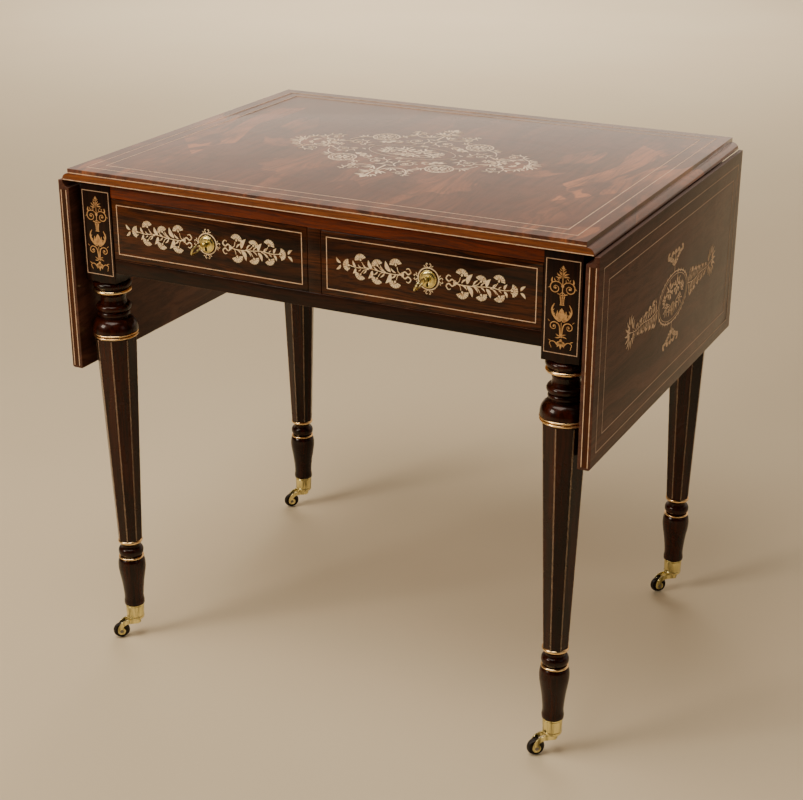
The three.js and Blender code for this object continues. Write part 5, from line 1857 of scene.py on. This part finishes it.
@dataclass
class Drawer:
    """One drawer: front with its flower branches, linings, lock, escutcheon and key."""

    side: Side
    finishes: Finishes
    recipes: Recipes
    dome_radius: float = 11.8
    dome_height: float = 4.2
    key_turn: float = 30.0
    string_inset: float = 8.0

    def build(self) -> None:
        """Makes the drawer."""
        word = self.side.word
        self.body = f"{word}_drawer"
        front = f"{word}_drawer_front"
        low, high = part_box(front)
        self.keyhole = Vector(((low.x + high.x) / 2, low.y, (low.z + high.z) / 2))
        hand_over(
            softened_copy(front, f"{front}_shaped", self.finishes.frieze, 0.5), self.body, "rosewood", front
        )
        for part in ("left_side", "right_side"):
            node = f"{word}_drawer_{part}"
            hand_over(
                softened_copy(node, f"{node}_shaped", self.finishes.lining, 0.8), self.body, "lining_wood",
                node
            )
        for part in ("back", "bottom"):
            node = f"{word}_drawer_{part}"
            hand_over(
                softened_copy(node, f"{node}_shaped", self.finishes.lining_across), self.body, "lining_wood",
                node
            )
        redress(f"{word}_lock_case", self.finishes.steel)
        redress(f"{word}_lock_bolt", self.finishes.steel)
        face = Panel(self.keyhole.copy(), X_AXIS, Z_AXIS)
        inset = 2 * self.string_inset
        frame_mesh = self.recipes.string_frame(
            "s", face, (high.x - low.x) / MM - inset, (high.z - low.z) / MM - inset, self.finishes.string,
            1.05
        )
        name = f"{word}_drawer_stringing"
        mount(name, joined(name, [frame_mesh]), self.finishes.string, self.body)
        self.branches(face)
        self.escutcheon()
        self.key()

    def branches(self, face: Panel) -> None:
        """A flower branch to each side of the keyhole, and the curled ring round it."""
        work = Marquetry(f"{self.side.word}_drawer_marquetry", self.recipes, mirrors=TWO_PLACES)
        work.stem([(36, 0), (48, -1.5), (66, -0.5), (84, 1.5), (100, 0), (112, 1.5)], 1.2, 0.9)
        for u, v, angle, size, foot in (
            (46.5, 14.0, 78, 1.0, 38), (47.5, -13.5, -74, 1.0, 39), (73, 9.5, 66, 0.92, 60),
            (73.5, -12.5, -66, 0.92, 61), (97, 13.5, 70, 0.94, 84), (97.5, -10.5, -62, 0.9, 85)
        ):
            work.stem([(foot, 0), ((foot + u) / 2, v * 0.2), (u - 2.6, v * 0.62)], 1.0, 0.8)
            work.bloom(u, v, angle, size)
        work.bloom(116.0, 1.5, 2, 0.95)
        for foot, length in ((53, 1.6), (79, 1.3), (103, 0.9)):
            for up in (1, -1):
                work.sprig(Motif.LEAF, foot, 0.8 * up, up * 62, length)
                work.sprig(Motif.SLIM, foot - 7.5, 0.8 * up, up * 40, length * 0.62)
                work.sprig(Motif.SLIM, foot + 8.5, 0.8 * up, up * 48, length * 0.62)
        work.sprig(Motif.LEAF, 124.8, 2.8, 46, 0.95)
        work.sprig(Motif.LEAF, 124.8, 0.4, -46, 0.95)
        work.stem([(38, 0), (33, 4.2), (28.4, 1.4), (24.6, 4.6), (27.4, 9), (31, 8)], 1.5, 0.9, swell=0.5)
        work.stem(
            [(37.5, -0.4), (33, -4.6), (28.4, -1.8), (24.6, -5), (27.4, -9.4), (31, -8.4)], 1.5, 0.9,
            swell=0.5
        )
        work.sprig(Motif.BUD, 34, 0, 0, 0.9)
        work.mirrors = ONE_PLACE
        work.ring((0, 0), 14.3, 14.3, 1.5)
        for quarter in range(4):
            for sway in (-1, 1):
                curl = [(15.0, 4.0), (16.6, 8.5), (18.8, 10.5), (20.2, 6.5), (18.9, 3.4)]
                heading = [(reach, radians(quarter * 90 + sway * angle)) for reach, angle in curl]
                work.stem([(reach * cos(a), reach * sin(a)) for reach, a in heading], 1.1, 0.8)
                work.sprig(
                    Motif.LEAF, *heading_point(16.0, quarter * 90 + sway * 14), quarter * 90 + sway * 62, 0.34
                )
        work.lay(face, self.body, self.finishes.boxwood)

    def escutcheon(self) -> None:
        """The domed plate round the keyhole, with a rolled rim and a raised seat for the key."""
        word = self.side.word
        radius, height = self.dome_radius, self.dome_height
        profile = [
            (0, 0.3), (radius - 0.5, 0.3), *bead(0.3, 1.9, radius - 0.5, radius, 8)[1:], (radius - 1.2, 1.85),
            *sweep((radius - 1.4, 1.8), (5.8, height - 0.4), True, 10), (5.4, height - 0.7),
            (4.9, height - 0.7), (4.9, height - 0.25), (4.6, height), (0, height)
        ]
        mesh = turned(f"{word}_escutcheon_dome", profile, ORIGIN, 56)
        mesh.transform(Matrix.Translation(self.keyhole) @ Matrix.Rotation(radians(90), 4, "X"))
        piece = piece_of(f"{word}_escutcheon_dome", mesh, self.finishes.key_brass)
        slot_half, slot_drop = 1.5 * MM, 9.6 * MM
        near = self.keyhole + Vector((-slot_half, -10 * MM, -slot_drop))
        far = self.keyhole + Vector((slot_half, 5 * MM, 0))
        hole = turned("cutter", [(0, -6), (3.4, -6), (3.4, 10), (0, 10)], ORIGIN, 32)
        hole.transform(Matrix.Translation(self.keyhole) @ Matrix.Rotation(radians(90), 4, "X"))
        cutter = piece_of("cutter", hole, self.finishes.key_brass)
        carve(piece, [cutter, box_cutter(near, far)], 38.0)
        hand_over(piece, self.body, "brass", f"{word}_escutcheon")

    def key(self) -> None:
        """The key: an oval bow, a moulded collar, a shaft and a warded bit."""
        node = f"{self.side.word}_key"
        low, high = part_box(node)
        tip, end = low.y / MM, high.y / MM
        bow_length, bow_height, band, thick = 24.0, 20.0, 3.4, 3.0
        bm = bmesh.new()
        steps, round_steps = 40, 10
        rings = []
        for i in range(steps):
            a = 2 * pi * i / steps
            heart = Vector((0, (bow_length - band) / 2 * cos(a), (bow_height - band) / 2 * sin(a)))
            out = Vector((0, cos(a) / bow_length, sin(a) / bow_height)).normalized()
            ring = []
            for k in range(round_steps):
                b = 2 * pi * k / round_steps
                ring.append(
                    bm.verts.new(
                        (
                            heart + out * band / 2 * cos(b) + Vector((thick / 2 * sin(b), 0, 0))
                            + Vector((0, tip + bow_length / 2, 0))
                        )
                        * MM
                    )
                )
            rings.append(ring)
        for i in range(steps):
            for k in range(round_steps):
                j, m = (i + 1) % steps, (k + 1) % round_steps
                bm.faces.new([rings[i][k], rings[j][k], rings[j][m], rings[i][m]])
        root = tip + bow_length
        profile = [
            (0, root - 2.2), (2.4, root - 2.2), (2.2, root + 0.6), *bead(root + 0.8, root + 2.0, 2.4, 3.2, 6),
            *bead(root + 2.0, root + 4.6, 2.7, 4.0, 8), *bead(root + 4.6, root + 5.8, 2.6, 3.2, 6),
            (2.6, root + 6.2), (2.6, end), (0, end)
        ]
        shaft = turned("shaft", profile, ORIGIN, 32)
        shaft.transform(Matrix.Rotation(radians(-90), 4, "X"))
        bit = bmesh.new()
        add_prism(
            bit,
            [
                (end - 5, -1.5), (end - 5, -9), (end - 3.3, -9), (end - 3.3, -6.4), (end - 2.3, -6.4),
                (end - 2.3, -9), (end, -9), (end, -1.5)
            ],
            -1.0, 1.0
        )
        bit_mesh = as_mesh("bit", bit, CUT_EDGE)
        bit_mesh.transform(Matrix(((0, 0, 1, 0), (1, 0, 0, 0), (0, 1, 0, 0), (0, 0, 0, 1))))
        mesh = joined(f"{node}_shaped", [as_mesh("bow", bm), shaft, bit_mesh])
        turn = Matrix.Rotation(radians(self.key_turn), 4, "Y")
        mesh.transform(Matrix.Translation(Vector((self.keyhole.x, 0, self.keyhole.z))) @ turn)
        mount(f"{node}_shaped", mesh, self.finishes.key_brass, f"{self.side.word}_key_body", "brass", node)


# ---- casters


@dataclass
class Caster:
    """One caster: brass cup, horn with two curved cheeks, riveted axle and dark wheel."""

    corner: Corner
    finishes: Finishes
    cup_radius: float = 14.2
    cup_wall: float = 1.5
    cup_floor: float = 2.0
    neck_radius: float = 8.0
    wheel_radius: float = 12.5
    wheel_width: float = 9.0
    cheek_gap: float = 0.7
    cheek_thickness: float = 2.4
    cheek_end: float = 6.0
    axle_radius: float = 2.0
    neck_rise: float = 11.5

    def build(self) -> None:
        """Makes the caster."""
        word = self.corner.word
        low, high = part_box(f"{word}_caster_cup")
        axis = (low + high) / 2
        self.foot = Vector((axis.x, axis.y, 0))
        self.cup_bottom, self.cup_top = low.z / MM, high.z / MM
        wheel_low, wheel_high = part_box(f"{word}_caster_wheel")
        hub = (wheel_low + wheel_high) / 2
        self.hub = Vector((hub.x, hub.y, hub.z))
        run = Vector((hub.x - axis.x, hub.y - axis.y))
        self.trail = run.length / MM
        self.heading = atan2(run.y, run.x)
        self.cup()
        self.horn()
        self.wheel()

    def placing(self) -> Matrix:
        """Lays the caster's own frame, which trails along X, on its foot."""
        return Matrix.Translation(self.foot) @ Matrix.Rotation(self.heading, 4, "Z")

    def on_hub(self) -> Matrix:
        """Lays a turned piece across the wheel's hub."""
        level = Matrix.Rotation(radians(90), 4, "X")
        return Matrix.Translation(self.hub) @ Matrix.Rotation(self.heading, 4, "Z") @ level

    def cup(self) -> None:
        """The cup with a rolled rim and a rounded foot."""
        name = f"{self.corner.word}_caster_cup"
        inner, outer = self.cup_radius - self.cup_wall, self.cup_radius
        bottom, top = self.cup_bottom, self.cup_top
        profile = [
            (2.7, bottom), (outer - 5, bottom), *arc((outer - 4.2, bottom + 3.4), 3.4, -90, 0, 8),
            (outer - 0.8, bottom + 5), (outer - 1.3, bottom + 5.8), (outer - 0.9, bottom + 6.6),
            (outer - 0.6, top - 6), (outer - 0.9, top - 5),
            *bead(top - 4.6, top - 3.0, outer - 0.9, outer - 0.3, 6),
            *bead(top - 2.8, top - 0.2, outer - 0.8, outer, 10), (inner + 0.3, top), (inner, top - 0.4),
            (inner, bottom + self.cup_floor), (2.7, bottom + self.cup_floor), (2.7, bottom)
        ]
        mesh = turned(f"{name}_shaped", profile, self.foot, 56, 50.0)
        mount(f"{name}_shaped", mesh, self.finishes.caster_brass, "frame", "brass", name)

    def cheek_outline(self) -> Outline:
        """One curved cheek seen from the side."""
        end, neck_top, neck_low = self.cheek_end, self.cup_bottom - 0.3, self.wheel_radius + self.neck_rise
        bend = neck_top - self.wheel_radius
        hub = (self.trail, self.wheel_radius)
        return [
            (-self.neck_radius / 2, neck_low),
            *arc((self.trail + end - bend, self.wheel_radius), self.neck_rise, 90, 34, 8),
            *arc(hub, end, 112, 360, 24), *arc((self.trail + end - bend, self.wheel_radius), bend, 4, 90, 14),
            (-self.neck_radius / 2, neck_top)
        ]

    def horn(self) -> None:
        """The neck, the cheeks with softened arrises and the swivel pin."""
        name = f"{self.corner.word}_caster_horn"
        neck_low, neck_top = self.wheel_radius + self.neck_rise, self.cup_bottom - 0.3
        pin_head = self.cup_bottom + self.cup_floor + 0.3
        radius = self.neck_radius
        neck = turned(
            "neck",
            [
                (0, neck_low), (radius - 1.4, neck_low), *arc((radius - 1.4, neck_low + 1.4), 1.4, -90, 0, 5),
                (radius, neck_top - 1.2), *arc((radius - 1.2, neck_top - 1.2), 1.2, 0, 90, 5),
                (2.3, neck_top), (2.3, pin_head), (4.5, pin_head), (4.5, pin_head + 1.4),
                (3.6, pin_head + 2.0), (0, pin_head + 2.0)
            ],
            ORIGIN, 48
        )
        inner = self.wheel_width / 2 + self.cheek_gap
        meshes = [neck]
        for start, stop in ((inner, inner + self.cheek_thickness), (-inner - self.cheek_thickness, -inner)):
            meshes.append(along_y("cheek", self.cheek_outline(), start * MM, stop * MM, 0.55))
        mesh = joined(f"{name}_shaped", meshes)
        mesh.transform(self.placing())
        axle = f"{self.corner.word}_caster_axle"
        body = f"{self.corner.word}_swivel"
        mount(f"{name}_shaped", mesh, self.finishes.caster_brass, body, "brass", name)
        self.axle(axle, body, inner + self.cheek_thickness)

    def axle(self, node: str, body: str, reach: float) -> None:
        """The axle, its ends riveted over in low domes."""
        r = self.axle_radius
        dome = 0.9
        profile = [
            (0, -reach - dome), (r * 0.8, -reach - dome * 0.8), (r * 1.35, -reach - 0.05), (r, -reach),
            (r, reach), (r * 1.35, reach + 0.05), (r * 0.8, reach + dome * 0.8), (0, reach + dome)
        ]
        mesh = turned(f"{node}_shaped", profile, ORIGIN, 24, 50.0)
        mesh.transform(self.on_hub())
        mount(f"{node}_shaped", mesh, self.finishes.steel, body, "steel", node)

    def wheel(self) -> None:
        """The dark wheel with a rounded tread, a recessed face and a hub."""
        name = f"{self.corner.word}_caster_wheel"
        half, bore, radius = self.wheel_width / 2, self.axle_radius + 0.4, self.wheel_radius
        tread = arc((radius - half * 0.62, 0), half * 0.62, -62, 62, 12)
        profile = [
            (bore, -half), (4.4, -half), (5.0, -half + 0.9), (radius - 3.4, -half + 0.9),
            (radius - 2.8, -half), (radius - 1.9, -half + 0.1), *tread, (radius - 1.9, half - 0.1),
            (radius - 2.8, half), (radius - 3.4, half - 0.9), (5.0, half - 0.9), (4.4, half), (bore, half),
            (bore, -half)
        ]
        mesh = turned(f"{name}_shaped", profile, ORIGIN, 56, 50.0)
        mesh.transform(self.on_hub())
        mount(f"{name}_shaped", mesh, self.finishes.wheel, f"{self.corner.word}_wheel", "caster_wheel", name)


# ---- studio


@dataclass(frozen=True)
class Softbox:
    """One soft rectangular light."""

    name: str
    place: tuple[float, float, float]
    aim: tuple[float, float, float]
    size: tuple[float, float]
    power: float
    tint: str = "ffffff"
    mirrored: bool = True

    def build(self) -> None:
        """Hangs the light."""
        light = bpy.data.lights.new(self.name, "AREA")
        light.shape = "RECTANGLE"
        light.size, light.size_y = self.size
        light.energy = self.power
        light.color = colour(self.tint)[:3]
        lamp = bpy.data.objects.new(self.name, light)
        lamp.location = self.place
        lamp.rotation_euler = (Vector(self.aim) - Vector(self.place)).to_track_quat("-Z", "Y").to_euler()
        lamp.visible_camera = False
        lamp.visible_glossy = self.mirrored
        bpy.context.scene.collection.objects.link(lamp)


@dataclass
class Studio:
    """The pale floor, the soft lights and the camera."""

    lens: float = 73.6
    camera_place: tuple[float, float, float] = (1.021, -2.0225, 1.297)
    azimuth: float = 27.025
    looking_down: float = 22.338
    floor_reach: float = 60.0

    def build(self) -> None:
        """Sets up the studio."""
        self.floor()
        self.sky()
        for softbox in (
            Softbox("overhead", (-0.5, -1.0, 3.4), (0, 0, 0.4), (2.2, 1.8), 88.0, "fff2e0"),
            Softbox("front left", (-2.2, -2.8, 2.2), (0, 0, 0.5), (1.2, 1.2), 78.0, "fff0dc"),
            Softbox("right", (3.2, -0.8, 2.0), (0, 0, 0.5), (1.6, 1.6), 5.0, "fff8f0"),
            Softbox("back floor", (-2.8, 5.4, 3.0), (-2.8, 5.4, 0.0), (4.0, 3.0), 300.0, "fff6ea", False)
        ):
            softbox.build()
        self.camera()

    def floor(self) -> None:
        """A plain pale floor."""
        material, shading, shader = start_material("pale floor")
        place = shading.add("ShaderNodeTexCoord").outputs["Object"]
        cloud = shading.noise(place, 1.4, 3.0)
        tone = shading.mix(cloud, colour("cebd9e"), colour("d6c7a9"))
        shading.feed(shader, {"Base Color": tone, "Roughness": 0.9})
        bm = bmesh.new()
        reach = self.floor_reach
        bm.faces.new([bm.verts.new(Vector((x, y, 0))) for x, y in oblong(-reach, reach, -reach, reach)])
        mesh = bpy.data.meshes.new("floor")
        bm.to_mesh(mesh)
        bm.free()
        piece_of("floor", mesh, material)

    def sky(self) -> None:
        """A surround that is pale behind the table and darker in front of it."""
        world = bpy.data.worlds.new("studio")
        bpy.context.scene.world = world
        world.use_nodes = True
        shading = Shading(world.node_tree)
        surround = world.node_tree.nodes["Background"]
        heading = shading.add("ShaderNodeTexCoord").outputs["Generated"]
        along = shading.add("ShaderNodeSeparateXYZ", {0: heading}).outputs["Y"]
        tone = shading.mix(shading.span(along, 0.0, 0.8), colour("201e1c"), colour("ffe6d0"))
        shading.feed(surround, {"Color": tone, "Strength": 0.86})

    def camera(self) -> None:
        """The camera at the viewing angle."""
        camera = bpy.data.objects.new("camera", bpy.data.cameras.new("camera"))
        camera.data.sensor_width = 36.0
        camera.data.lens = self.lens
        camera.location = self.camera_place
        down, turn = radians(self.looking_down), radians(self.azimuth)
        look = Vector((-sin(turn) * cos(down), cos(turn) * cos(down), -sin(down)))
        camera.rotation_euler = look.to_track_quat("-Z", "Y").to_euler()
        camera.data.clip_start, camera.data.clip_end = 0.05, 200.0
        bpy.context.scene.collection.objects.link(camera)
        bpy.context.scene.camera = camera


# ---- the table


def clear_start_up() -> None:
    """Removes whatever the empty scene started with."""
    kept = {*frame["nodes"].values(), *frame["bodies"].values()}
    for thing in list(bpy.data.objects):
        if thing not in kept:
            bpy.data.objects.remove(thing)


def main() -> None:
    """Builds every sub-assembly in order."""
    logging.basicConfig(level=logging.INFO, format="%(message)s")
    clear_start_up()
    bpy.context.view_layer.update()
    finishes, recipes = Finishes(), Recipes()
    parts = [
        FixedTop(finishes, recipes), *[DropLeaf(side, finishes, recipes) for side in Side],
        *[Leg(corner, finishes, recipes) for corner in Corner], Frieze(finishes),
        *[Drawer(side, finishes, recipes) for side in Side], *[Caster(corner, finishes) for corner in Corner]
    ]
    for part in parts:
        part.build()
    Studio().build()


if __name__ == "__main__":
    main()
